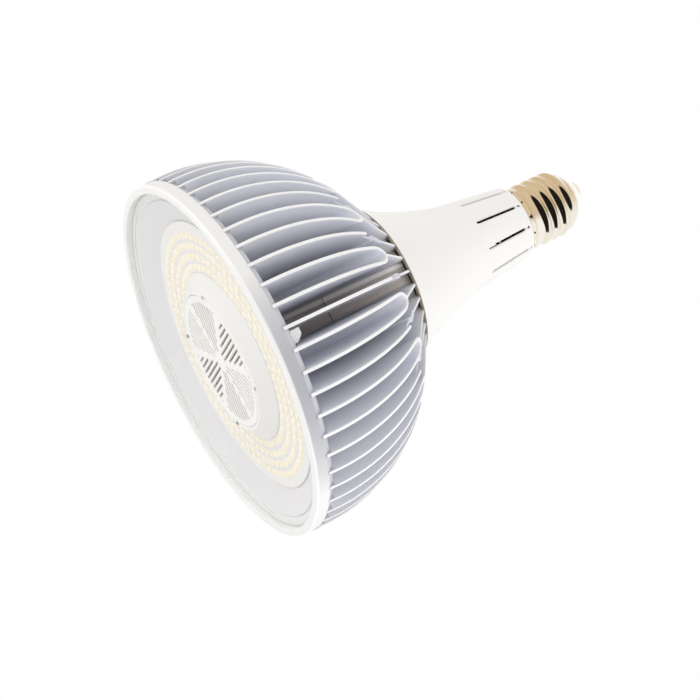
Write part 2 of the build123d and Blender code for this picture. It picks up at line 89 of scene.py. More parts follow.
@dataclass(frozen=True)
class Sock:
    """A value on a node tree, with the arithmetic that the finishes need.

    above and below are one where the value is past the edge, else nought; fraction is what is left
    after the whole part; angle has this value for its rise and the other for its run.
    """

    tree: "Tree"
    link: object

    __add__ = maths("ADD")
    __sub__ = maths("SUBTRACT")
    __rsub__ = maths("SUBTRACT", swap=True)
    __mul__ = maths("MULTIPLY")
    __truediv__ = maths("DIVIDE")
    above = maths("GREATER_THAN")
    below = maths("LESS_THAN")
    absolute = maths("ABSOLUTE")
    fraction = maths("FRACT")
    root = maths("SQRT")
    angle = maths("ARCTAN2")


class Tree:
    """The node tree of one finish, or of the surround."""

    DETAIL = 2.0
    ROUGH = 0.55

    def __init__(self, owner: bpy.types.ID) -> None:
        """Empties the node tree of a material or a world, and keeps it."""
        owner.use_nodes = True
        self.owner = owner
        self.nodes = owner.node_tree.nodes
        self.links = owner.node_tree.links
        self.nodes.clear()

    @classmethod
    def named(cls, name: str) -> "Tree":
        """The tree of a new material."""
        return cls(bpy.data.materials.new(name))

    def node(self, kind: str, settings: dict[str, object] | None = None,
             values: dict[str | int, object] | None = None) -> bpy.types.Node:
        """Adds a node, sets it, then fills or links its sockets.

        Args:
            kind: Blender's name of the node.
            settings: properties that are set first.
            values: socket name or number to a value or a Sock.

        Returns:
            The new node.
        """
        made = self.nodes.new(kind)
        for key, value in (settings or {}).items():
            setattr(made, key, value)
        for key, value in (values or {}).items():
            if isinstance(value, Sock):
                self.links.new(value.link, made.inputs[key])
            else:
                made.inputs[key].default_value = value
        return made

    def coordinates(self, kind: str) -> Sock:
        """One kind of coordinates of the point, such as Object, which is in metres."""
        return Sock(self, self.node("ShaderNodeTexCoord").outputs[kind])

    def parts(self) -> tuple[Sock, Sock, Sock]:
        """The object coordinates of the point, one by one."""
        node = self.node("ShaderNodeSeparateXYZ", values={0: self.coordinates("Object")})
        return tuple(Sock(self, node.outputs[k]) for k in range(3))

    def radius(self) -> Sock:
        """Distance from the lamp's axis, in metres."""
        x, y, _ = self.parts()
        return (x * x + y * y).root()

    def beside(self, count: int, first: float, radius: float) -> Sock:
        """Distance along the round from the nearest of some evenly spaced places, in metres.

        The angle about the axis is counted in spacings from the first place, and what is left
        beside the nearest whole number is turned into a length.

        Args:
            count: how many places in a turn.
            first: angle of the first, in degrees.
            radius: radius at which the length is told.

        Returns:
            The length, without its sign.
        """
        x, y, _ = self.parts()
        step = y.angle(x) * (count / TURN) + (0.5 - first * count / 360.0)
        return ((step.fraction() - 0.5) * (TURN * radius / count)).absolute()

    def noise(self, scale: float, stretch: Triple = (1, 1, 1)) -> Sock:
        """Soft noise from nought to one.

        Args:
            scale: waves in a metre.
            stretch: scale of the object coordinates along each axis first.

        Returns:
            The noise.
        """
        spot = self.node("ShaderNodeMapping", values={
            "Vector": self.coordinates("Object"), "Scale": stretch})
        node = self.node("ShaderNodeTexNoise", values={
            "Vector": Sock(self, spot.outputs[0]), "Scale": scale, "Detail": self.DETAIL,
            "Roughness": self.ROUGH})
        return Sock(self, node.outputs["Fac"])

    def span(self, value: Sock, low: float, high: float, to_low: float = 0.0,
             to_high: float = 1.0) -> Sock:
        """Maps a value from one span to another and holds it there.

        Args:
            value: what is mapped.
            low, high: the span that it comes from.
            to_low, to_high: what the ends of that span become.

        Returns:
            The mapped value.
        """
        node = self.node("ShaderNodeMapRange", {"clamp": True}, {
            "Value": value, "From Min": low, "From Max": high,
            "To Min": to_low, "To Max": to_high})
        return Sock(self, node.outputs["Result"])

    def blend(self, share: Sock, first: Sock | Triple, second: Sock | Triple) -> Sock:
        """A colour between two: the first at nought, the second at one."""
        ends = {key: colour if isinstance(colour, Sock) else (*colour, 1.0)
                for key, colour in ((6, first), (7, second))}
        node = self.node("ShaderNodeMix", {"data_type": "RGBA"}, {0: share, **ends})
        return Sock(self, node.outputs[2])

    def bump(self, height: Sock, strength: float, reach: float) -> Sock:
        """A surface normal from a height field; reach is the full field's height in metres."""
        node = self.node("ShaderNodeBump", values={
            "Height": height, "Strength": strength, "Distance": reach})
        return Sock(self, node.outputs["Normal"])

    def grain(self, roughness: Pair, scale: float = 900.0, strength: float = 0.2,
              reach: float = 0.00003) -> dict[str, Sock]:
        """Roughness and normal that follow one fine noise.

        Args:
            roughness: the least and the most.
            scale: waves in a metre.
            strength: how much of the relief shows.
            reach: height of the relief, in metres.

        Returns:
            Both sockets by name, for shade.
        """
        fine = self.noise(scale)
        return {"Roughness": self.span(fine, *NOISE_USED, *roughness),
                "Normal": self.bump(fine, strength, reach)}

    def shade(self, **values: object) -> bpy.types.Material:
        """Adds the shader and the output.

        Args:
            values: shader sockets, an underline standing for a space.

        Returns:
            The finished material.
        """
        filled = {key.replace("_", " "): value for key, value in values.items()}
        shader = self.node("ShaderNodeBsdfPrincipled", values=filled)
        self.node("ShaderNodeOutputMaterial", values={"Surface": Sock(self, shader.outputs[0])})
        return self.owner


# Finishes, their lengths in metres

@dataclass(frozen=True)
class Coated:
    """A coated or moulded surface with a fine grain and slow colour drift; some carry painted
    emission that lifts their shade.
    """

    name: str
    colour: Triple
    shade: Triple
    roughness: float = 0.45
    metallic: float = 0.0
    # painted light: emission of the surface's own colour that lifts its shade
    painted_glow: float = 0.0
    uneven: float = 0.05
    drift: float = 18.0
    relief: float = 0.25

    def material(self) -> bpy.types.Material:
        """The material, with its drift in the colour, its grain in gloss and normal, and its
        painted emission.
        """
        tree = Tree.named(self.name)
        colour = tree.blend(tree.noise(self.drift), self.shade, self.colour)
        gloss = (self.roughness - self.uneven, self.roughness + self.uneven)
        return tree.shade(
            Base_Color=colour, Emission_Color=colour, Emission_Strength=self.painted_glow,
            Metallic=self.metallic, **tree.grain(gloss, strength=self.relief))


@dataclass(frozen=True)
class FinCoat:
    """Satin silver coat, with painted shade that darkens it towards the core, on the flange behind
    the rim and on one side of the rim band, and painted light on the fins' upper ends, their free
    edges, the lip and the bore.
    """

    name: str = "satin_silver_coat"
    face: Triple = (0.73, 0.745, 0.80)
    # painted shade: darker and bluer towards the core, where the gaps between fins are in shade
    painted_deep_shade: Triple = (0.53, 0.55, 0.64)
    painted_deep_shade_span: Pair = (0.048, 0.100)
    cloud: Triple = (0.88, 0.88, 0.90)
    cloud_scale: float = 30.0
    cloud_share: float = 0.12
    # painted light: lighter towards the top, on the fins' upper ends by the neck
    crown: Triple = (0.82, 0.83, 0.86)
    painted_top_light_span: Pair = (0.088, 0.104)
    painted_top_light_share: float = 0.8
    # painted shade on the flange behind the rim, between the fins
    painted_sill_shade: Triple = (0.52, 0.53, 0.57)
    painted_sill_shade_height: float = 0.0112
    # painted highlight along the fins' free edges
    edge: Triple = (0.80, 0.80, 0.81)
    painted_edge_highlight_width: float = 0.0007
    bowl_centre: Pair = (0.0068, 0.016)
    bowl_radius: float = 0.0990
    band: Triple = (0.76, 0.76, 0.77)
    band_height: float = 0.0079
    # painted shade on the side of the rim band that faces one way
    painted_band_shade: Triple = (0.40, 0.405, 0.44)
    painted_band_shade_side: Pair = (0.438, -0.899)
    painted_band_shade_span: Pair = (0.80, 1.0)
    # painted highlight on the front lip, and painted light on the bore wall
    lip: Triple = (0.90, 0.90, 0.90)
    painted_lip_highlight_span: Pair = (0.0006, 0.0018)
    bore: float = 0.1006
    metallic: float = 0.12
    roughness: Pair = (0.39, 0.51)
    fine: float = 1400.0
    strength: float = 0.3
    reach: float = 0.00004

    def rim(self, tree: Tree, radius: Sock, above: Sock) -> Sock:
        """Colour of the rim: painted highlight on the lip, painted light in the bore and painted
        shade on one side of the band.

        Args:
            tree: the finish's tree.
            radius: distance from the axis.
            above: height over the face plane.

        Returns:
            The colour.
        """
        x, y, _ = tree.parts()
        aim = (x * self.painted_band_shade_side[0] + y * self.painted_band_shade_side[1]) / radius
        band = tree.blend(tree.span(aim, *self.painted_band_shade_span), self.band, self.painted_band_shade)
        band = tree.blend(tree.span(above, *self.painted_lip_highlight_span, 1.0, 0.0), band, self.lip)
        return tree.blend(radius.below(self.bore), band, self.lip)

    def material(self) -> bpy.types.Material:
        """The material; the painted shade and light follow the place, and the painted highlight on
        the free edge follows the bowl's own circle.
        """
        tree = Tree.named(self.name)
        radius, above = tree.radius(), tree.parts()[2]
        run, rise = radius - self.bowl_centre[0], above - self.bowl_centre[1]
        out = (run * run + rise * rise).root()
        colour = tree.blend(tree.span(radius, *self.painted_deep_shade_span), self.painted_deep_shade, self.face)
        for share, tint in (
                (tree.noise(self.cloud_scale) * self.cloud_share, self.cloud),
                (tree.span(above, *self.painted_top_light_span, 0.0, self.painted_top_light_share), self.crown),
                (above.below(self.painted_sill_shade_height), self.painted_sill_shade),
                (tree.span(out, self.bowl_radius - self.painted_edge_highlight_width, self.bowl_radius), self.edge),
                (above.below(self.band_height), self.rim(tree, radius, above))):
            colour = tree.blend(share, colour, tint)
        return tree.shade(Base_Color=colour, Metallic=self.metallic, **tree.grain(
            self.roughness, self.fine, self.strength, self.reach))


@dataclass(frozen=True)
class ClearPlate:
    """Clear moulded plate, denser at its hole's edge and thinner to the eye at its rim."""

    name: str = "clear_plate"
    colour: Triple = (0.97, 0.97, 0.97)
    edge: Triple = (0.90, 0.91, 0.90)
    hole_span: Pair = (0.0428, 0.0435)
    rim_span: Pair = (0.0987, 0.0997)
    alpha: Pair = (0.03, 0.23)
    ior: float = 1.49
    roughness: Pair = (0.05, 0.11)
    fine: float = 260.0

    def material(self) -> bpy.types.Material:
        """The material; alpha and colour change in a narrow band at both edges."""
        tree = Tree.named(self.name)
        radius = tree.radius()
        rim = tree.span(radius, *self.rim_span)
        hole = tree.span(radius, *self.hole_span, 1.0, 0.0)
        return tree.shade(
            Base_Color=tree.blend(rim + hole, self.colour, self.edge),
            Roughness=tree.span(tree.noise(self.fine), *NOISE_USED, *self.roughness),
            Alpha=tree.span(hole - rim, -1.0, 1.0, *self.alpha), IOR=self.ior)


@dataclass(frozen=True)
class BoardMask:
    """White solder mask with painted yellow light beside each row of emitters, and faint copper
    rings between their rows.
    """

    name: str = "white_board_mask"
    colour: Triple = (0.91, 0.905, 0.89)
    # painted light: a yellow spill from the emitters onto the mask beside each row
    tint: Triple = (0.97, 0.905, 0.71)
    copper: Triple = (0.82, 0.815, 0.82)
    rings: Triple = (0.05643, 0.0627, 0.06897)
    ring_half: float = 0.0009
    rows: tuple[float, ...] = (0.0533, 0.059567, 0.065833, 0.0721)
    painted_spill_span: Pair = (0.00126, 0.00252)
    roughness: Pair = (0.32, 0.42)
    fine: float = 1100.0
    shares: Pair = (0.8, 0.2)
    strength: float = 0.3
    reach: float = 0.00005

    def material(self) -> bpy.types.Material:
        """The material; each ring and the painted light beside each row is a band of one radius."""
        tree = Tree.named(self.name)
        radius, fine = tree.radius(), tree.noise(self.fine)
        bands = [(radius - ring).absolute().below(self.ring_half) for ring in self.rings]
        painted_spill_bands = [tree.span((radius - row).absolute(), *self.painted_spill_span, 1.0, 0.0)
                 for row in self.rows]
        trace = sum(bands[1:], bands[0])
        mask = tree.blend(sum(painted_spill_bands[1:], painted_spill_bands[0]), self.colour, self.tint)
        relief = trace * self.shares[0] + fine * self.shares[1]
        return tree.shade(
            Base_Color=tree.blend(trace, mask, self.copper),
            Roughness=tree.span(fine, *NOISE_USED, *self.roughness),
            Normal=tree.bump(relief, self.strength, self.reach))


@dataclass(frozen=True)
class Plated:
    """Nickel plate on rolled sheet, with fine turning lines, a warm cast and painted shade in the
    crimps.
    """

    name: str = "nickel_plate"
    colour: Triple = (0.93, 0.90, 0.85)
    warm: Triple = (0.82, 0.755, 0.65)
    warm_span: Pair = (0.35, 0.65)
    # painted shade on the floor of each crimp
    painted_pit_shade: Triple = (0.05, 0.03, 0.02)
    crimps: int = 12
    crimp_first: float = -77.7
    crimp_height: float = 0.2045
    crimp_span: Pair = (0.00048, 0.00088)
    skirt: float = 0.01945
    lines: float = 300.0
    stretch: Triple = (0.05, 0.05, 2.5)
    line_span: Pair = (0.2, 0.8)
    roughness: Pair = (0.07, 0.14)
    strength: float = 0.14
    reach: float = 0.00005

    def material(self) -> bpy.types.Material:
        """The material; lines and tint run round the cap, and each crimp floor gets painted shade.
        """
        tree = Tree.named(self.name)
        lines = tree.noise(self.lines, self.stretch)
        along = tree.beside(self.crimps, self.crimp_first, self.skirt)
        up = tree.parts()[2] - self.crimp_height
        crimp = tree.span((along * along + up * up).root(), *self.crimp_span, 1.0, 0.0)
        plate = tree.blend(tree.span(lines, *self.warm_span), self.colour, self.warm)
        return tree.shade(
            Base_Color=tree.blend(crimp, plate, self.painted_pit_shade), Metallic=1.0,
            Roughness=tree.span(lines, *self.line_span, *self.roughness),
            Normal=tree.bump(lines, self.strength, self.reach))


@dataclass(frozen=True)
class NeckWhite:
    """White moulding of the neck, with painted shade inside it, a painted shadow line at its foot,
    and a fine line from each slot to its hole.
    """

    name: str = "neck_white"
    colour: Triple = (0.755, 0.75, 0.737)
    shade: Triple = (0.73, 0.725, 0.71)
    drift: float = 14.0
    line: Triple = (0.45, 0.43, 0.41)
    line_half: float = 0.00022
    line_low: float = 0.1968
    line_high: float = 0.1990
    line_radius: float = 0.0226
    slots: int = 10
    first: float = -101.2
    # painted shade at the foot, standing for the shadow line in the gap above the fins
    foot: Triple = (0.42, 0.34, 0.24)
    painted_gap_shade_height: float = 0.1093
    # painted shade inside the cone, seen through the slots
    painted_inner_shade: Triple = (0.05, 0.035, 0.028)
    painted_inner_shade_height: float = 0.165
    skin_span: Pair = (0.0008, 0.0016)
    top_radius: float = 0.022
    top_height: float = 0.202
    slope: float = 0.12537
    roughness: Pair = (0.40, 0.50)

    def material(self) -> bpy.types.Material:
        """The material; the line follows angle and height, the painted shade inside follows the
        depth in the cone, and the painted shadow at the foot follows the height.
        """
        tree = Tree.named(self.name)
        height = tree.parts()[2]
        beside = tree.beside(self.slots, self.first, self.line_radius)
        line = (beside.below(self.line_half) * height.above(self.line_low)
                * height.below(self.line_high))
        depth = (self.top_height - height) * self.slope + self.top_radius - tree.radius()
        inside = tree.span(depth, *self.skin_span) * height.above(self.painted_inner_shade_height)
        colour = tree.blend(tree.noise(self.drift), self.shade, self.colour)
        for share, tint in ((line, self.line), (height.below(self.painted_gap_shade_height), self.foot),
                            (inside, self.painted_inner_shade)):
            colour = tree.blend(share, colour, tint)
        return tree.shade(Base_Color=colour, **tree.grain(self.roughness))


@dataclass(frozen=True)
class CoreCoat:
    """Brown-grey satin plastic of the core, with lengthwise bands of painted sheen and one painted
    highlight line.
    """

    name: str = "brown_grey_core"
    colour: Triple = (0.66, 0.60, 0.575)
    # painted sheen: lengthwise bands between this darker colour and the one above, standing for
    # reflections along the core
    shade: Triple = (0.47, 0.425, 0.40)
    painted_sheen_streaks: float = 260.0
    stretch: Triple = (1.0, 1.0, 0.02)
    painted_sheen_span: Pair = (0.35, 0.65)
    # painted highlight: a pale line along the core at one angle
    pale: Triple = (0.97, 0.95, 0.95)
    painted_highlight_stripe: float = -89.3
    painted_highlight_span: Pair = (0.0008, 0.0016)
    painted_highlight_radius: float = 0.047
    roughness: Pair = (0.24, 0.32)

    def material(self) -> bpy.types.Material:
        """The material; the painted sheen is noise drawn out along the axis, and the painted
        highlight follows an angle.
        """
        tree = Tree.named(self.name)
        painted_sheen_streaks = tree.span(tree.noise(self.painted_sheen_streaks, self.stretch), *self.painted_sheen_span)
        beside = tree.beside(1, self.painted_highlight_stripe, self.painted_highlight_radius)
        painted_highlight_stripe = tree.span(beside, *self.painted_highlight_span, 1.0, 0.0)
        colour = tree.blend(painted_sheen_streaks, self.shade, self.colour)
        return tree.shade(
            Base_Color=tree.blend(painted_highlight_stripe, colour, self.pale), **tree.grain(self.roughness))


class Finish(Enum):
    """Every finish that the lamp has."""

    FINS = FinCoat()
    LENS = ClearPlate()
    BOARD = BoardMask()
    SHELL = Plated()
    NECK = NeckWhite()
    WHITE = Coated("white_moulding", (0.90, 0.895, 0.885), (0.87, 0.865, 0.855), 0.42)
    GRILLE = Coated("off_white_moulding", (0.93, 0.92, 0.90), (0.90, 0.89, 0.865), 0.5)
    CONE = Coated("pale_grey_cone", (0.80, 0.795, 0.81), (0.76, 0.75, 0.77), 0.34)
    HOOK = Coated("white_hook", (0.93, 0.93, 0.92), (0.90, 0.90, 0.89))
    SEAL = Coated("pale_seal", (0.91, 0.91, 0.89), (0.88, 0.88, 0.86), 0.6)
    CORE = CoreCoat()
    # the emitters and the fan carry painted emission that lifts their shade
    PACKAGE = Coated("emitter_package", (0.86, 0.815, 0.68), (0.84, 0.795, 0.66), 0.4, painted_glow=0.22)
    PHOSPHOR = Coated("emitter_phosphor", (0.88, 0.79, 0.59), (0.86, 0.77, 0.57), 0.5, painted_glow=0.22)
    SCREW = Coated("zinc_screw", (0.55, 0.55, 0.56), (0.46, 0.46, 0.48), 0.3, 0.9)
    PAD = Coated("grey_thermal_pad", (0.36, 0.39, 0.43), (0.32, 0.35, 0.39), 0.7)
    BLACK = Coated("black_moulding", (0.030, 0.028, 0.027), (0.022, 0.021, 0.020), 0.42)
    FAN = Coated("brown_black_moulding", (0.42, 0.24, 0.11), (0.34, 0.19, 0.085), 0.42, painted_glow=0.14)
    STEEL = Coated("ground_steel", (0.52, 0.52, 0.53), (0.45, 0.45, 0.46), 0.22, 1.0)
    IRON = Coated("stator_iron", (0.22, 0.22, 0.23), (0.17, 0.17, 0.18), 0.5, 0.8)
    GREEN = Coated("green_board", (0.03, 0.16, 0.07), (0.02, 0.12, 0.05), 0.35)
    FERRITE = Coated("ferrite", (0.06, 0.06, 0.065), (0.045, 0.045, 0.05), 0.6)
    TAPE = Coated("yellow_tape", (0.78, 0.55, 0.10), (0.70, 0.48, 0.08), 0.35)
    SLEEVE = Coated("dark_sleeve", (0.03, 0.03, 0.05), (0.02, 0.02, 0.035), 0.3)
    COPPER = Coated("enamelled_copper", (0.62, 0.27, 0.10), (0.52, 0.21, 0.08), 0.3, 0.8)
    BARE = Coated("milled_aluminium", (0.70, 0.70, 0.72), (0.62, 0.62, 0.65), 0.3, 0.9)
    CERAMIC = Coated("off_white_insulator", (0.90, 0.885, 0.86), (0.86, 0.845, 0.82), 0.28)
    CONTACT = Coated("tinned_contact", (0.93, 0.92, 0.90), (0.89, 0.88, 0.86), 0.35, 0.5)
    FLOOR = Coated("pale_floor", (0.90, 0.90, 0.90), (0.88, 0.88, 0.88), 0.8)


class Paint:
    """Makes each finish once and puts it on pieces."""

    made: dict[Finish, bpy.types.Material] = {}

    @classmethod
    def on(cls, piece: bpy.types.Object, finish: Finish) -> None:
        """Puts a finish on every slot of a piece.

        Args:
            piece: the mesh object.
            finish: which finish.
        """
        if finish not in cls.made:
            cls.made[finish] = finish.value.material()
        slots = piece.data.materials
        if not len(slots):
            slots.append(cls.made[finish])
        for k in range(len(slots)):
            slots[k] = cls.made[finish]


# Surfaces, their lengths in millimetres

def placed(name: str, data: bpy.types.ID) -> bpy.types.Object:
    """A new object that shows some data, linked to the scene."""
    made = bpy.data.objects.new(name, data)
    bpy.context.scene.collection.objects.link(made)
    return made


@dataclass(frozen=True)
class Shell:
    """Points in millimetres and arrays of faces, each array with one count of corners."""

    points: np.ndarray
    faces: tuple[np.ndarray, ...]

    def volume(self) -> float:
        """Signed volume, six times: the sum of each face's fan of corners from the origin."""
        total = 0.0
        for block in self.faces:
            first = self.points[block[:, 0]]
            for k in range(1, block.shape[1] - 1):
                side = np.cross(self.points[block[:, k]], self.points[block[:, k + 1]])
                total += float(np.einsum("ij,ij->i", first, side).sum())
        return total

    def outward(self) -> "Shell":
        """The same closed shell with its faces pointing out."""
        if self.volume() >= 0.0:
            return self
        return Shell(self.points, tuple(block[:, ::-1] for block in self.faces))

    def copies(self, first: float, count: int) -> "Shell":
        """Copies spaced evenly about the lamp's axis.

        Args:
            first: turn of the first, in degrees.
            count: how many.

        Returns:
            One shell with all the copies.
        """
        turns = np.radians(first + 360.0 * np.arange(count) / count)
        c, s = np.cos(turns)[:, None], np.sin(turns)[:, None]
        x, y, z = self.points.T
        spots = np.stack(
            [c * x - s * y, s * x + c * y, np.broadcast_to(z, (count, len(z)))], axis=-1)
        shift = (np.arange(count) * len(self.points))[:, None, None]
        faces = tuple((block[None] + shift).reshape(-1, block.shape[1]) for block in self.faces)
        return Shell(spots.reshape(-1, 3), faces)

    @staticmethod
    def joined(parts: list["Shell"]) -> "Shell":
        """Several shells as one."""
        points, faces, start = [], [], 0
        for part in parts:
            points.append(part.points)
            faces += [block + start for block in part.faces]
            start += len(part.points)
        return Shell(np.concatenate(points), tuple(faces))

    def piece(self, name: str, finish: Finish, slot: str, node: str = "",
              crease: float = 35.0) -> bpy.types.Object:
        """Makes the mesh object, dresses it and lets it ride on the lamp.

        Args:
            name: the piece's name.
            finish: its finish.
            slot: the record's material slot; not used.
            node: the node that it stands for, if any.
            crease: edges sharper than this many degrees stay hard.

        Returns:
            The new object.
        """
        mesh = bpy.data.meshes.new(name)
        rows = [row for block in self.faces for row in block.tolist()]
        mesh.from_pydata((self.points * MM).tolist(), [], rows)
        mesh.shade_smooth()
        mesh.set_sharp_from_angle(angle=math.radians(crease))
        made = placed(name, mesh)
        Paint.on(made, finish)
        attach(made, "lamp")
        if node:
            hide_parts(node)
        LOG.info("piece %s, %d faces", name, len(rows))
        return made


def polar(radius: np.ndarray, turn: np.ndarray | float, height: np.ndarray) -> np.ndarray:
    """Points told by radius, angle in radians and height: r cos t, r sin t, z."""
    spots = np.broadcast_arrays(radius * np.cos(turn), radius * np.sin(turn), height)
    return np.stack(spots, axis=-1)


def quads(low: np.ndarray, high: np.ndarray) -> np.ndarray:
    """Faces between rings of point numbers and the rings beside them, rings by steps by four."""
    return np.stack([low, np.roll(low, -1, axis=1), np.roll(high, -1, axis=1), high], axis=-1)


def softened(corners: Outline, closed: bool = True, steps: int = 5) -> np.ndarray:
    """A radius and height outline whose corners are rounded.

    Each rounded corner is the parabola between a point on either side, one tangent length away,
    with a further point beyond each end that keeps the flat beside it flat in shading.

    Args:
        corners: radius, height and rounding of each corner.
        closed: true when the outline is a ring.
        steps: points of each rounded corner.

    Returns:
        An array of radius and height.
    """
    most_cut, most_flat, flat = 0.45, 0.49, 1.5
    spots = np.array([(r, z) for r, z, _ in corners], float)
    count = len(spots)
    share = np.linspace(0.0, 1.0, steps)[:, None]
    rows = []
    for k, (_, _, rounding) in enumerate(corners):
        here = spots[k]
        if rounding <= 0.0 or (not closed and k in (0, count - 1)):
            rows.append(here[None])
            continue
        before, after = spots[k - 1] - here, spots[(k + 1) % count] - here
        long_before, long_after = np.linalg.norm(before), np.linalg.norm(after)
        before, after = before / long_before, after / long_after
        half = math.acos(max(-1.0, min(1.0, float(before @ after)))) / 2
        cut = min(rounding / max(math.tan(half), 1e-3),
                  most_cut * long_before, most_cut * long_after)
        arc = ((1 - share) ** 2 * (here + before * cut) + 2 * share * (1 - share) * here
               + share**2 * (here + after * cut))
        rows.append(np.vstack([here + before * min(cut * flat, most_flat * long_before), arc,
                               here + after * min(cut * flat, most_flat * long_after)]))
    return np.vstack(rows)


def turned(corners: Outline, segments: int, poles: bool = False, steps: int = 5) -> Shell:
    """Turns a softened outline of radius and height about the lamp's axis.

    A point goes to radius times cosine, radius times sine, and height.

    Args:
        corners: radius, height and rounding of each corner.
        segments: steps round the axis.
        poles: true when the outline runs from the axis to the axis, false when it is a ring.
        steps: points of each rounded corner.

    Returns:
        The closed shell.
    """
    outline = softened(corners, not poles, steps)
    turns = np.arange(segments) * TURN / segments
    rows = outline[1:-1] if poles else outline
    count = len(rows) * segments
    spots = polar(rows[:, None, 0], turns, rows[:, None, 1]).reshape(-1, 3)
    number = np.arange(count).reshape(-1, segments)
    low = number[:-1] if poles else number
    high = number[1:] if poles else np.roll(number, -1, axis=0)
    faces = [quads(low, high).reshape(-1, 4)]
    if poles:
        spots = np.vstack([spots, [[0, 0, outline[0, 1]], [0, 0, outline[-1, 1]]]])
        near, far = number[0], number[-1]
        faces.append(np.stack([np.full(segments, count), np.roll(near, -1), near], axis=-1))
        faces.append(np.stack([np.full(segments, count + 1), far, np.roll(far, -1)], axis=-1))
    return Shell(spots, tuple(faces)).outward()


def carried(loops: np.ndarray) -> Shell:
    """Joins a row of closed loops into one skin with a flat end at each side.

    Args:
        loops: stations by points of a loop by three.

    Returns:
        The closed shell.
    """
    number = np.arange(loops.shape[0] * loops.shape[1]).reshape(loops.shape[:2])
    skin = quads(number[:-1], number[1:])[..., [0, 3, 2, 1]].reshape(-1, 4)
    ends = np.stack([number[0], number[-1][::-1]])
    return Shell(loops.reshape(-1, 3), (skin, ends)).outward()


# The casting

@dataclass
class Casting:
    """The heat sink: rim, lens seat, deck, straight fins and forked fins."""

    rim: float = 105.0
    band: float = 7.8
    bore: float = 100.4
    ledge: float = 4.3
    seat: float = 97.0
    deck_edge: float = 80.8
    deck_front: float = 12.9
    deck_back: float = 16.5
    flange_back: float = 11.0
    flange_inner: float = 92.0
    slope_radius: float = 84.0
    air_hole: float = 38.8
    side_radius: float = 99.2
    side_centre: float = 6.8
    side_steps: int = 40
    widest: float = 16.0
    shoulder: float = 89.0
    top_radius: float = 46.8
    top: float = 108.7
    core_foot: float = 49.7
    core_top: float = 42.2
    around: int = 324
    groups: int = 18
    first: float = -82.5
    thickness: float = 1.8
    inner_thickness: float = 1.5
    fork: float = 77.3
    bend_centre: float = 80.6
    bend_length: float = 7.7
    bend_steps: int = 21
    stem_steps: int = 20
    overlap: float = 0.1
    step_radius: float = 79.5
    notch: tuple[Pair, ...] = (
        (79.5, 80.6), (70.6, 87.5), (70.5, 89.4), (62.0, 95.5), (46.8, 108.7))
    notch_steps: int = 8
    block: float = 3.1
    root_keys: tuple[float, ...] = (20.0, 55.0, 86.0, 94.5)
    root_rim: float = 103.0
    sunk_band: float = 0.9
    sunk_flange: float = 0.6
    sunk_deck: float = 0.8
    across: tuple[float, ...] = (
        -1.0, -1.0, -1.0, -0.94, -0.72, -0.3, 0.3, 0.72, 0.94, 1.0, 1.0, 1.0)
    down: tuple[float, ...] = (9.9, 2.0, 0.75, 0.38, 0.12, 0.0, 0.0, 0.12, 0.38, 0.75, 2.0, 9.9)
    to_root: float = 9.0
    full_depth: float = 2.6

    def envelope(self, radius: np.ndarray) -> np.ndarray:
        """Height of the bowl at a radius: a circle outside the shoulder, a cone inside."""
        run, rise = radius - self.side_centre, self.shoulder - self.widest
        circle = self.widest + np.sqrt(np.clip(self.side_radius**2 - run**2, 0.0, None))
        turn = self.side_centre + math.sqrt(self.side_radius**2 - rise**2)
        slope = (self.top - self.shoulder) / (turn - self.top_radius)
        return np.where(radius > turn, circle, self.shoulder + (turn - radius) * slope)

    def side(self, inner: float) -> np.ndarray:
        """Radius and height along the bowl's circle, from the rim band up to an inner radius."""
        start = math.asin((self.band - self.widest) / self.side_radius)
        stop = math.acos((inner - self.side_centre) / self.side_radius)
        turns = np.linspace(start, stop, self.side_steps)
        return np.stack([self.side_centre + self.side_radius * np.cos(turns),
                         self.widest + self.side_radius * np.sin(turns)], axis=-1)

    def roots(self, edge: np.ndarray) -> np.ndarray:
        """Where each point of a fin's edge is carried: on the flange, the deck, then the core.

        The edge's key heights are paired with key points of the root line and the rest lie
        between. Between flange and deck the root follows the slope.

        Args:
            edge: radius and height along the free edge.

        Returns:
            Radius and height of the root of each.
        """
        keys = [self.band, *self.root_keys, self.top]
        radius = [self.rim - self.overlap, self.root_rim, self.flange_inner,
                  self.fork, self.core_foot, self.core_top]
        flange, deck = self.flange_back - self.sunk_flange, self.deck_back - self.sunk_deck
        height = [self.band - self.sunk_band, flange, flange, deck, deck, self.top]
        root = np.stack([np.interp(edge[:, 1], keys, line) for line in (radius, height)], axis=-1)
        between = (edge[:, 1] > self.root_keys[1]) & (edge[:, 1] < self.root_keys[2])
        slope = np.interp(root[:, 0], [self.slope_radius, self.flange_inner],
                          [self.deck_back, self.flange_back]) - self.sunk_deck
        root[between, 1] = slope[between]
        return root

    def wall(self, edge: np.ndarray, root: np.ndarray, normal: np.ndarray,
             thickness: float) -> Shell:
        """A fin wall, whose loops go up one face, over the rounded edge and down the other.

        Args:
            edge: points of the free edge, stations by three.
            root: points of the root, stations by three.
            normal: unit vectors across the wall.
            thickness: thickness of the wall.

        Returns:
            The closed wall.
        """
        reach = np.linalg.norm(edge - root, axis=1)[:, None]
        out = (edge - root) / reach
        across, down = np.array(self.across), np.array(self.down)
        depth = np.minimum(down, reach * np.clip(down / self.full_depth, 0.0, 1.0))
        depth = np.where(down > self.to_root, reach, depth)
        return carried(edge[:, None] - out[:, None] * depth[..., None]
                       + normal[:, None] * (across * thickness / 2)[:, None])

    def radial(self, edge: np.ndarray, thickness: float) -> Shell:
        """A straight fin in the plane of X and Z, from radius and height along its edge."""
        root = self.roots(edge)
        normal = np.tile([0.0, 1.0, 0.0], (len(edge), 1))
        return self.wall(polar(edge[:, 0], 0.0, edge[:, 1]), polar(root[:, 0], 0.0, root[:, 1]),
                         normal, thickness)

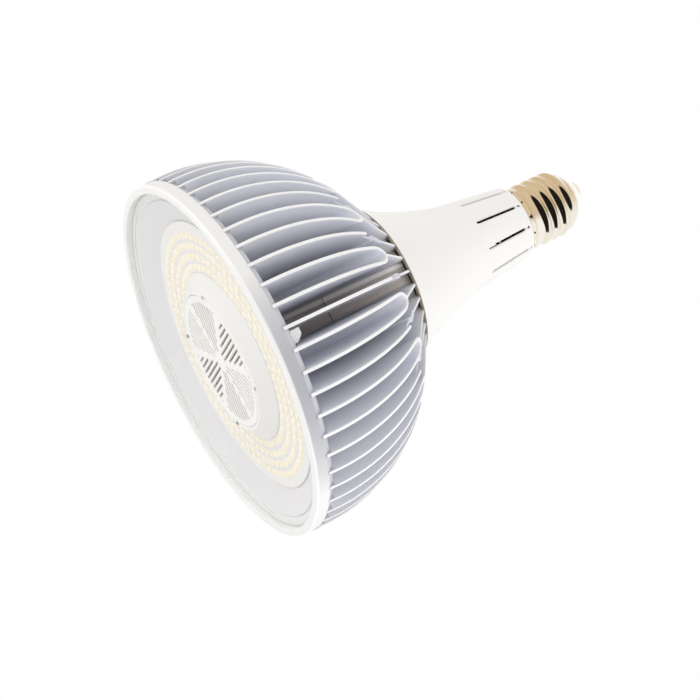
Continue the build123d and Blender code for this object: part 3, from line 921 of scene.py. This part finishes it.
    def straight(self) -> Shell:
        """One straight fin: thick outer part, notch, wide flat block, thin part to the neck.

        Returns:
            The fin, in the plane of X and Z.
        """
        keys = np.array(self.notch)
        share = np.linspace(0.0, 1.0, self.notch_steps)[:-1, None]
        spans = [low + (high - low) * share for low, high in zip(keys[:-1], keys[1:])]
        return Shell.joined([
            self.radial(self.side(self.step_radius), self.thickness),
            self.radial(np.vstack([*spans, keys[-1:]]), self.inner_thickness),
            self.radial(np.vstack([spans[2], keys[3:4]]), self.block)])

    def forked(self) -> Shell:
        """One forked fin: two arms that run into a pointed bend, and the stem behind it.

        The bend is an ellipse that touches both arms' planes. With its centre at a distance c
        from the axis and a half length a along the radius, it touches them at c less a squared
        over c, and its half width is the arms' slope times the root of c squared less a squared.

        Returns:
            The fin, its stem in the plane of X and Z.
        """
        half = math.radians(180.0 / self.groups / 3)
        centre, long = self.bend_centre, self.bend_length
        wide = math.tan(half) * math.sqrt(centre**2 - long**2)
        touch = (centre - long**2 / centre) / math.cos(half)
        deck = self.deck_back - self.sunk_deck
        arm = self.side(touch)
        root = self.roots(arm)
        root[-1] = (touch, deck)
        sides = [(polar(arm[:, 0], turn, arm[:, 1]), polar(root[:, 0], turn, root[:, 1]),
                  np.tile([-math.sin(half), sign * math.cos(half), 0.0], (len(arm), 1)))
                 for sign, turn in ((1.0, half), (-1.0, -half))]
        first = math.acos(-long / centre)
        turns = np.linspace(first, TURN - first, self.bend_steps)[1:-1]
        x, y = centre + long * np.cos(turns), wide * np.sin(turns)
        over = np.stack([x, y, self.envelope(np.hypot(x, y))], axis=-1)
        foot = np.stack([x, y, np.full_like(x, deck)], axis=-1)
        out = np.stack([np.cos(turns) / long, np.sin(turns) / wide, 0.0 * turns], axis=-1)
        out /= np.linalg.norm(out, axis=1)[:, None]
        edge, base, normal = (np.vstack([left, bend, right[::-1]])
                              for left, bend, right in zip(sides[0], (over, foot, out), sides[1]))
        radius = np.linspace(centre - long - self.overlap, self.top_radius, self.stem_steps)
        height = np.minimum(self.envelope(radius), self.top)
        height[-1] = self.top
        return Shell.joined([
            self.wall(edge, base, normal, self.thickness),
            self.radial(np.stack([radius, height], axis=-1), self.inner_thickness)])

    def build(self) -> None:
        """Makes the base and all the fins, and puts them in the casting's place."""
        turned((
            (self.bore, 0.0, 0.35), (self.rim, 0.0, 1.2), (self.rim, self.band, 0.5),
            (self.root_rim, self.flange_back, 0.8), (self.flange_inner, self.flange_back, 2.0),
            (self.slope_radius, self.deck_back, 2.0), (self.air_hole, self.deck_back, 0.3),
            (self.air_hole, self.deck_front, 0.3), (self.deck_edge, self.deck_front, 0.3),
            (self.seat, self.ledge, 0.3), (self.bore, self.ledge, 0.2)), self.around).piece(
            "heat_sink_base", Finish.FINS, "cast_aluminium", "heat_sink")
        half = 180.0 / self.groups
        for name, fin, first in (("straight", self.straight(), self.first),
                                 ("forked", self.forked(), self.first + half)):
            fin.copies(first, self.groups).piece(
                f"heat_sink_{name}_fins", Finish.FINS, "cast_aluminium")


# The face

@dataclass
class Face:
    """Lens, gasket, reflector, lamp board and emitters."""

    lens: Outline = ((42.6, 1.0, 0.3), (100.0, 1.0, 0.5), (100.0, 3.5, 0.3), (42.6, 3.5, 0.3))
    seal: Outline = ((97.2, 3.52, 0.25), (99.6, 3.52, 0.25), (99.6, 4.28, 0.2), (97.2, 4.28, 0.2))
    cone: Outline = ((95.1, 5.2, 0), (94.7, 4.35, 0.3), (80.25, 11.9, 0.2), (80.9, 12.7, 0))
    board: Outline = ((50.35, 10.8, 0.2), (80.2, 10.8, 0.2), (80.2, 12.4, 0.1), (50.35, 12.4, 0.1))
    hook_count: int = 6
    hook_first: float = -79.1667
    hook_radius: float = 94.6
    hook_depth: float = 3.5
    hook_width: float = 7.0
    hook_low: float = 11.15
    hook_height: float = 7.0
    hook_chamfer: float = 3.4
    hook_face: Pair = (0.08, 0.3)
    rings: tuple[tuple[float, int], ...] = ((53.3, 54), (59.567, 60), (65.833, 66), (72.1, 72))
    board_front: float = 10.8
    package: Triple = (2.8, 3.2, 0.55)
    package_face: Pair = (0.05, 0.1)
    window_corner: float = 0.72
    window_share: float = 0.86
    window_sunk: float = 0.02
    window_proud: float = 0.18
    window_face: Pair = (0.12, 0.1)
    round_steps: int = 256
    flat_steps: int = 200

    def prism(self, outline: np.ndarray, low: float, high: float, shrink: float,
              soft: float) -> Shell:
        """A plate raised from an outline, with a chamfer at its far side.

        Args:
            outline: corners of the plate, two numbers each.
            low: height of its foot.
            high: height of its face.
            shrink: how far the face is drawn in, as a share.
            soft: height of the chamfer.

        Returns:
            The closed plate, its outline in the first two places.
        """
        middle = outline.mean(axis=0)
        rows = []
        for height, share in ((low, 1.0), (high - soft, 1.0), (high, 1.0 - shrink)):
            spots = middle + (outline - middle) * share
            rows.append(np.column_stack([spots, np.full(len(spots), height)]))
        return carried(np.array(rows))

    def hooks(self) -> None:
        """Snap hooks of the reflector, where they come through the flange."""
        w, h, c = self.hook_width / 2, self.hook_height, self.hook_chamfer
        outline = np.array([(-w, 0), (w, 0), (w, h - c), (w - c, h), (-w, h)], float)
        plate = self.prism(outline, self.hook_radius, self.hook_radius + self.hook_depth,
                           *self.hook_face)
        hook = Shell(plate.points[:, [2, 0, 1]] + [0, 0, self.hook_low], plate.faces).outward()
        hook.copies(self.hook_first, self.hook_count).piece(
            "reflector_hooks", Finish.HOOK, "reflector_grey", crease=20.0)

    def emitters(self) -> None:
        """Rings of emitter packages, each with its phosphor window a little proud."""
        x, y, z = self.package
        square = np.array([(-x, -y), (x, -y), (x, y), (-x, y)], float) / 2
        cut = self.window_corner
        corners = np.vstack([square * [cut, 1], square * [1, cut]])
        order = np.argsort(np.arctan2(corners[:, 1], corners[:, 0]))
        body = self.prism(square, 0.0, z, *self.package_face)
        window = self.prism(corners[order] * self.window_share, z - self.window_sunk,
                            z + self.window_proud, *self.window_face)
        for k, (radius, count) in enumerate(self.rings, start=1):
            for name, part, finish, node in (
                    ("packages", body, Finish.PACKAGE, f"led_ring_{k}"),
                    ("windows", window, Finish.PHOSPHOR, "")):
                spots = part.points * [1, 1, -1] + [radius, 0, self.board_front]
                Shell(spots, part.faces).outward().copies(0.0, count).piece(
                    f"emitter_{name}_{k}", finish, "emitter", node, 20.0)

    def build(self) -> None:
        """Makes the face from the front to the deck."""
        turned(self.lens, self.round_steps).piece(
            "clear_lens", Finish.LENS, "clear_lens", "lens_cover")
        turned(self.seal, self.flat_steps).piece(
            "lens_seal", Finish.SEAL, "gasket", "lens_gasket")
        turned(self.cone, self.round_steps).piece(
            "reflector_cone", Finish.CONE, "reflector_grey", "reflector")
        self.hooks()
        turned(self.board, self.flat_steps).piece(
            "lamp_board", Finish.BOARD, "lamp_board", "led_board")
        self.emitters()


# Air intake

@dataclass
class Intake:
    """The white shroud in the middle of the face, and its screws."""

    shroud: Outline = (
        (50.2, 12.9, 0), (50.2, 10.2, 0.8), (42.2, 3.6, 0.7), (39.7, 3.6, 0.4), (39.7, 5.7, 0),
        (37.9, 5.7, 0.2), (37.9, 7.2, 0.3), (42.5, 7.2, 0), (48.0, 11.3, 0), (48.0, 12.9, 0))
    screw_place: float = 40.95
    screw_first: float = -141.0
    screw_count: int = 4
    seat: float = 3.6
    sunk: float = 0.02
    head: float = 1.15
    tip: float = 0.06
    dome: float = 0.7
    dome_drop: float = 0.72
    cross_half: float = 0.17
    cross_reach: float = 0.72
    cross_depth: float = 0.3
    steps: tuple[int, int] = (9, 24)
    around: int = 220

    def screws(self) -> None:
        """Pan heads with a cross recess: a dome whose height drops inside a cross."""
        rings, count = self.steps
        share = np.linspace(self.tip, 1.0, rings)
        turns = np.arange(count) * TURN / count
        x = share[:, None] * self.head * np.cos(turns)
        y = share[:, None] * self.head * np.sin(turns)
        dome = self.dome * np.sqrt(np.clip(1.0 - self.dome_drop * share**2, 0, 1))[:, None]
        cross = ((np.minimum(np.abs(x), np.abs(y)) < self.cross_half)
                 & (np.hypot(x, y) < self.cross_reach))
        height = np.where(cross, dome - self.cross_depth, dome)
        rows = np.stack([x, y, self.seat - height], axis=-1)[::-1]
        foot = polar(np.full(count, self.head), turns, self.seat + self.sunk)
        shell = carried(np.concatenate([foot[None], rows]))
        Shell(shell.points + [self.screw_place, 0, 0], shell.faces).copies(
            self.screw_first, self.screw_count).piece(
            "shroud_screw_heads", Finish.SCREW, "screw_steel", "shroud_screws", 30.0)

    def build(self) -> None:
        """Makes the shroud and its screws; the grille keeps the frame's own mesh."""
        turned(self.shroud, self.around).piece(
            "intake_shroud", Finish.WHITE, "white_plastic", "air_shroud")
        self.screws()
        Paint.on(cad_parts["air_grille"], Finish.GRILLE)


# Core

@dataclass
class Core:
    """The air duct and the driver can, seen between the fins, with the seam between them."""

    foot: float = 49.5
    top: float = 42.0
    low: float = 16.5
    high: float = 108.7
    seam_low: float = 52.5
    seam_high: float = 56.0
    seam_line: float = 0.45
    wall: float = 2.0
    recess: float = 2.2
    tuck: float = 46.5
    ledge: float = 58.5
    ledge_inner: float = 34.6
    around: int = 160

    def edge(self, height: float) -> float:
        """Outer radius of the core at a height."""
        return self.foot + (self.top - self.foot) * (height - self.low) / (self.high - self.low)

    def build(self) -> None:
        """Makes both parts, the can with its recessed band."""
        a, b, seam = self.edge(self.seam_low), self.edge(self.seam_high), self.seam_high
        line, wall = seam - self.seam_line, self.wall
        turned((
            (self.foot, self.low, 0), (self.edge(line), line, 0.25), (a - wall, line, 0.3),
            (self.foot - wall, self.low, 0)), self.around).piece(
            "air_duct", Finish.CORE, "core_plastic", "fan_duct")
        band = a - self.recess
        turned((
            (band, self.tuck, 0.3), (band, seam, 0), (b, seam, 0.25), (self.top, self.high, 0.1),
            (self.top - wall, self.high, 0.1), (b - self.recess, self.ledge, 0.4),
            (self.ledge_inner, self.ledge, 0.3), (self.ledge_inner, seam, 0.2),
            (band - wall, seam, 0.2), (band - wall, self.tuck, 0.3)), self.around).piece(
            "can_wall", Finish.CORE, "core_plastic")


# Neck

@dataclass
class Neck:
    """The white flared housing with its slots."""

    bend: Pair = (26.2, 168.5)
    top: Pair = (22.0, 202.0)
    arc_centre: Pair = (171.61, 186.73)
    arc_radius: float = 146.55
    wall: float = 2.2
    slots: int = 10
    slot_first: float = -101.2
    slot_half: float = 0.9
    slot_low: float = 169.0
    slot_high: float = 197.0
    slot_least: float = 0.35
    slot_steps: int = 4
    hole: float = 199.6
    hole_half: float = 0.9
    hole_least: float = 0.3
    hole_steps: tuple[float, ...] = (-1.0, -0.7, 0.0, 0.7, 1.0)
    between: int = 12
    below_slots: tuple[float, float, int] = (109.2, 168.0, 44)
    along_slots: tuple[float, float, int] = (171.0, 195.0, 14)
    above_holes: Pair = (200.95, 201.3)
    foot: Outline = ((47.3, 108.8, 0.9), (47.42, 108.87, 0.9))
    crown: Outline = ((21.95, 201.75, 0.9), (21.7, 201.95, 0.9), (21.3, 202.0, 0.9),
                      (18.6, 202.0, 0.9))

    def flare(self, height: np.ndarray) -> np.ndarray:
        """Radius at a height: a hollow circle up to the bend, then a straight cone."""
        rise = height - self.arc_centre[1]
        hollow = self.arc_centre[0] - np.sqrt(self.arc_radius**2 - rise**2)
        slope = (self.bend[0] - self.top[0]) / (self.top[1] - self.bend[1])
        return np.where(height < self.bend[1], hollow, self.top[0] + (self.top[1] - height) * slope)

    def rows(self) -> np.ndarray:
        """The skin's rows from the foot to the top, closer where a slot or hole is rounded.

        Returns:
            Radius, height and half width of the cut at each row.
        """
        cap = self.slot_half
        turns = np.linspace(0, math.pi / 2, self.slot_steps)
        slot = [self.slot_low + cap * (1 - math.cos(t)) for t in turns]
        slot_top = [self.slot_high - cap * (1 - math.cos(t)) for t in turns[::-1]]
        hole = [self.hole + self.hole_half * s for s in self.hole_steps]
        height = np.concatenate([
            np.linspace(*self.below_slots), slot, np.linspace(*self.along_slots), slot_top, hole,
            self.above_holes])
        half = np.full(len(height), cap)
        for k, z in enumerate(height):
            if abs(z - self.hole) <= self.hole_half + CLOSE:
                off = (z - self.hole) / self.hole_half
                half[k] = max(self.hole_least, self.hole_half * math.sqrt(max(0.0, 1 - off**2)))
            elif self.slot_low - CLOSE <= z <= self.slot_high + CLOSE:
                off = max(self.slot_low + cap - z, z - self.slot_high + cap, 0.0)
                half[k] = max(self.slot_least, math.sqrt(max(0.0, cap**2 - off**2)))
        return np.stack([self.flare(height), height, half], axis=-1)

    def build(self) -> None:
        """Makes the skin with its slots left open, then gives it a wall."""
        table = np.vstack([self.foot, self.rows(), self.crown])
        radius, z = table[:, 0:1], table[:, 1]
        sector = TURN / self.slots
        cut = table[:, 2:3] / radius
        share = np.linspace(0.0, 1.0, self.between)[1:-1]
        turn = np.concatenate([-cut, cut, cut + (sector - 2 * cut) * share], axis=1)
        start = math.radians(self.slot_first)
        turns = np.concatenate([turn + start + sector * k for k in range(self.slots)], axis=1)
        number = np.arange(turns.size).reshape(turns.shape)
        skin = quads(number[:-1], number[1:])
        low, high = z[:-1] + CLOSE, z[1:] - CLOSE
        in_slot = (low >= self.slot_low) & (high <= self.slot_high)
        in_hole = (low >= self.hole - self.hole_half) & (high <= self.hole + self.hole_half)
        at_cut = np.arange(turns.shape[1]) % turn.shape[1] == 0
        keep = ~((in_slot | in_hole)[:, None] & at_cut)
        spots = polar(radius, turns, z[:, None]).reshape(-1, 3)
        made = Shell(spots, (skin[keep],)).piece(
            "neck_shell", Finish.NECK, "white_plastic", "neck_housing", 50.0)
        solid = made.modifiers.new("wall", "SOLIDIFY")
        solid.thickness = self.wall * MM
        solid.offset = -1.0


# Screw cap

@dataclass
class Cap:
    """The screw shell with its rolled thread and crimps, the insulator and the contact."""

    pitch: float = 6.35
    major: float = 19.65
    minor: float = 17.85
    turns: float = 4.3
    start: float = 209.0
    phase: float = -33.0
    crest_half: float = 2.9
    crest_power: float = 0.85
    fade_in: float = 0.16
    fade_lead: float = 0.02
    fade_from: float = 3.5
    skirt: float = 19.45
    low: float = 202.3
    skirt_top: float = 206.4
    shoulder: float = 234.2
    round_off: Pair = (15.4, 239.0)
    lip: Pair = (11.6, 242.3)
    wall: float = 0.6
    crimps: int = 12
    crimp_first: float = -77.7
    crimp_z: float = 204.5
    crimp_width: float = 0.7
    crimp_depth: float = 0.45
    around: int = 240
    crimp_rows: int = 14
    crimp_zone: Pair = (0.5, 1.0)
    step: float = 0.3
    bend_rows: int = 14
    insulator: Outline = (
        (0, 235.8, 0), (15.4, 235.8, 0.3), (13.9, 238.6, 1.0), (10.95, 241.9, 0),
        (10.95, 242.9, 0.5), (8.6, 246.2, 1.2), (0, 246.2, 0))
    contact: Outline = ((0, 245.9, 0), (7.4, 245.9, 0), (7.4, 249.0, 2.0), (0, 249.0, 0))

    def thread(self, turn: np.ndarray, height: np.ndarray) -> np.ndarray:
        """Height of the thread: a raised cosine about each crest, faded at both ends.

        The crest's place along the axis grows by one pitch for each turn about it.

        Args:
            turn: angle in radians.
            height: place along the axis in millimetres.

        Returns:
            Height over the root.
        """
        share = (turn / TURN - self.phase / 360.0) % 1.0
        place = (height - self.start) / self.pitch - share
        crest = np.round(place)
        off = np.abs(place - crest) * self.pitch / self.crest_half
        along = crest + share
        bump = np.where(off < 1, 0.5 * (1 + np.cos(math.pi * np.clip(off, 0, 1))), 0.0)
        ending = np.clip((self.turns - along) / (self.turns - self.fade_from), 0, 1)
        fade = np.clip((along + self.fade_lead) / self.fade_in, 0, 1) * ending
        return ((self.major - self.minor) * bump**self.crest_power
                * fade * fade * (3 - 2 * fade))

    def outline(self) -> tuple[np.ndarray, int]:
        """The shell's section, with closer rows where the crimps and the thread are.

        Returns:
            Radius and height round the section, and how many rows are its outer side.
        """
        (mid, mid_z), (lip, lip_z) = self.round_off, self.lip
        skirt, minor, wall, low, top = self.skirt, self.minor, self.wall, self.low, self.skirt_top
        foot = softened((
            (skirt - wall, low, 0), (skirt, low, 0.15), (skirt, top, 0.8),
            (minor, top + 1.5, 0.8), (minor, top + 2.0, 0)), False)
        crimp_z = np.linspace(low + self.crimp_zone[0], top - self.crimp_zone[1], self.crimp_rows)
        body_z = np.arange(top + 2.1, self.shoulder - self.step, self.step)
        outer = np.vstack([
            foot[foot[:, 1] < low + 0.4], np.column_stack([np.full_like(crimp_z, skirt), crimp_z]),
            foot[foot[:, 1] > top - 0.9], np.column_stack([np.full_like(body_z, minor), body_z])])
        end = softened((
            (minor, self.shoulder - self.step, 0), (minor, self.shoulder, 3.5), (mid, mid_z, 3.0),
            (lip, lip_z, 0.4), (lip - wall, lip_z, 0.2), (mid - wall, mid_z - wall, 2.0),
            (minor - wall, self.shoulder - wall, 2.0), (minor - wall, top + 1.3, 0.3),
            (skirt - wall, top + 0.4, 0.3), (skirt - wall, low + 0.2, 0)), False)
        return np.vstack([outer, end]), len(outer) + self.bend_rows

    def shell(self) -> None:
        """The shell: a turned outline whose outer side carries the thread and the crimps."""
        outline, outside = self.outline()
        outer = (np.arange(len(outline)) < outside)[:, None]
        turn = np.arange(self.around) * TURN / self.around
        radius = outline[:, 0:1] + np.zeros(self.around)
        height = outline[:, 1:2] + np.zeros(self.around)
        rise = self.thread(turn[None], height) * (height > self.skirt_top + 0.6)
        lift = np.maximum(0.0, np.minimum(self.minor, radius) + rise - radius)
        radius = radius + np.where(outer, lift, 0.0)
        for k in range(self.crimps):
            centre = math.radians(self.crimp_first + 360.0 * k / self.crimps)
            away = (turn - centre + math.pi) % TURN - math.pi
            near = (away * self.skirt) ** 2 + (height - self.crimp_z) ** 2
            radius -= self.crimp_depth * np.exp(-near / self.crimp_width**2) * outer
        number = np.arange(radius.size).reshape(radius.shape)
        skin = quads(number, np.roll(number, -1, axis=0)).reshape(-1, 4)
        Shell(polar(radius, turn, height).reshape(-1, 3), (skin,)).outward().piece(
            "screw_cap_shell", Finish.SHELL, "nickel_shell", "screw_shell", 60.0)

    def build(self) -> None:
        """Makes the cap from its skirt to its contact."""
        self.shell()
        turned(self.insulator, 120, True).piece(
            "cap_insulator", Finish.CERAMIC, "insulator", "base_insulator")
        turned(self.contact, 96, True, 9).piece(
            "cap_contact", Finish.CONTACT, "contact_brass", "centre_contact")


# Inner pieces

@dataclass
class Inner:
    """Finishes of the pieces behind the grille and the slots, which keep the frame's meshes."""

    finishes: dict[Finish, tuple[str, ...]] = field(default_factory=lambda: {
        Finish.PAD: ("thermal_pad",), Finish.FAN: ("fan_frame", "fan_rotor"),
        Finish.STEEL: ("fan_bearing", "fan_shaft"), Finish.IRON: ("fan_stator", "rotor_magnet"),
        Finish.GREEN: ("fan_circuit_board", "driver_board"), Finish.CORE: ("driver_can",),
        Finish.FERRITE: ("transformer_core",), Finish.TAPE: ("transformer_coil",),
        Finish.SLEEVE: ("capacitor_1", "capacitor_2"), Finish.COPPER: ("choke",),
        Finish.BLACK: ("power_transistors",), Finish.BARE: ("heat_spreader",)})

    def build(self) -> None:
        """Puts each finish on its nodes."""
        for finish, names in self.finishes.items():
            for name in names:
                Paint.on(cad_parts[name], finish)
                LOG.info("node %s dressed", name)


# Studio, its lengths in metres

@dataclass
class Studio:
    """Camera, soft lights, pale surround and floor.

    Each light has its name, its place to the camera's right, up and back from the lamp's middle,
    the side of its square and its watts.
    """

    place: Triple = (0.135555, -0.937560, -0.288259)
    turn: tuple[float, float, float, float] = (0.462036, 0.723091, -0.395247, 0.327784)
    lens: float = 92.5714
    sensor: float = 36.0
    near: float = 0.01
    middle: Triple = (0.0, 0.0, 0.11)
    floor: float = -1.3
    floor_half: float = 6.0
    lights: tuple[tuple[str, Triple, float, float], ...] = (
        ("key", (-0.9, 1.0, 0.9), 1.1, 10.0), ("side", (1.2, 0.1, 0.7), 0.9, 5.0),
        ("low", (0.8, -1.2, 0.4), 1.1, 9.0), ("rear", (0.5, 0.9, -1.0), 1.0, 5.0))
    white: Triple = (1.0, 1.0, 1.0)
    fill: Triple = (0.82, 0.815, 0.81)
    bright: Triple = (1.0, 0.99, 0.97)
    tan: Triple = (0.74, 0.60, 0.41)
    tan_span: Pair = (-0.1, 0.4)
    rear_span: Pair = (0.55, 0.9)
    dark: Triple = (0.015, 0.012, 0.010)
    overhead: Triple = (0.0, 1.0, 0.15)
    sideways: Triple = (-0.438, 0.899, 0.0)
    lengthways: Triple = (0.899, 0.438, 0.0)
    dark_across: Pair = (0.16, 0.80)
    dark_along: Pair = (0.72, 1.42)
    dark_span: Pair = (0.90, 1.10)

    def camera(self) -> None:
        """The camera at the photograph's viewing angle."""
        data = bpy.data.cameras.new("camera")
        data.lens, data.sensor_width, data.clip_start = self.lens, self.sensor, self.near
        made = placed("camera", data)
        made.rotation_mode = "QUATERNION"
        made.location = self.place
        made.rotation_quaternion = self.turn
        bpy.context.scene.camera = made

    def lamp(self, name: str, place: Triple, size: float, power: float) -> None:
        """A square soft light that faces the lamp's middle.

        Args:
            name: its name.
            place: metres to the camera's right, up in the picture and towards the camera.
            size: its side.
            power: watts.
        """
        offset = Quaternion(self.turn) @ Vector(place)
        data = bpy.data.lights.new(name, "AREA")
        data.size, data.energy = size, power
        made = placed(name, data)
        made.location = Vector(self.middle) + offset
        made.rotation_mode = "QUATERNION"
        made.rotation_quaternion = (-offset).to_track_quat("-Z", "Y")
        made.visible_camera = made.visible_glossy = False

    def towards(self, tree: Tree, *aim: float) -> Sock:
        """How much a ray of the surround points along a direction.

        Args:
            tree: the surround's tree.
            aim: the direction in the camera's own axes: right, up and back.

        Returns:
            The cosine between them.
        """
        axis = Quaternion(self.turn) @ Vector(aim).normalized()
        node = tree.node("ShaderNodeVectorMath", {"operation": "DOT_PRODUCT"},
                         {0: tree.coordinates("Generated"), 1: tuple(axis)})
        return Sock(tree, node.outputs["Value"])

    def world(self) -> None:
        """A white surround for the eye; in gloss it is tan above, white below and dark in front.

        The dark part is an ellipse on the camera's side, long in the picture's line of the lamp's
        axis: its two distances, each over its half length, have squares that add to one.
        """
        world = bpy.data.worlds.new("surround")
        bpy.context.scene.world = world
        tree = Tree(world)
        above = tree.span(self.towards(tree, *self.overhead), *self.tan_span)
        behind = tree.span(self.towards(tree, 0.0, 0.0, -1.0), *self.rear_span, 1.0, 0.0)
        across, along = (
            (self.towards(tree, *aim) + shift) / half
            for aim, (shift, half) in ((self.sideways, self.dark_across),
                                       (self.lengthways, self.dark_along)))
        facing = self.towards(tree, 0.0, 0.0, 1.0).above(0.0)
        front = tree.span(across * across + along * along, *self.dark_span, 1.0, 0.0) * facing
        gloss = tree.blend(above * behind, self.bright, self.tan)
        gloss = tree.blend(front, gloss, self.dark)
        path = tree.node("ShaderNodeLightPath")
        colour = tree.blend(Sock(tree, path.outputs["Is Glossy Ray"]), self.fill, gloss)
        colour = tree.blend(Sock(tree, path.outputs["Is Camera Ray"]), colour, self.white)
        shown = tree.node("ShaderNodeBackground", values={"Color": colour, "Strength": 1.0})
        tree.node("ShaderNodeOutputWorld", values={"Surface": Sock(tree, shown.outputs[0])})

    def ground(self) -> None:
        """The pale floor, well under the lamp."""
        mesh = bpy.data.meshes.new("floor")
        far = self.floor_half
        mesh.from_pydata([(x, y, self.floor) for x, y in ((-far, -far), (far, -far), (far, far),
                                                          (-far, far))], [], [(0, 1, 2, 3)])
        made = placed("floor", mesh)
        made.visible_glossy = False
        Paint.on(made, Finish.FLOOR)
        made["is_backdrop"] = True

    def build(self) -> None:
        """Sets the camera, the surround, the floor and the lights."""
        self.camera()
        self.world()
        self.ground()
        for light in self.lights:
            self.lamp(*light)
        view = bpy.context.scene.view_settings
        view.view_transform = "Standard"
        view.look = "None"


def corners() -> list[list[float]]:
    """The box of what is shown now, as two corners."""
    low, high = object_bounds()
    return [list(low), list(high)]


def main() -> None:
    """Builds the lamp piece by piece, then the studio."""
    logging.basicConfig(level=logging.INFO, format="%(message)s")
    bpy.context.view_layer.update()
    for part in (Casting(), Face(), Intake(), Core(), Neck(), Cap(), Inner(), Studio()):
        part.build()
        LOG.info("%s done", type(part).__name__)


if __name__ == "__main__":
    main()
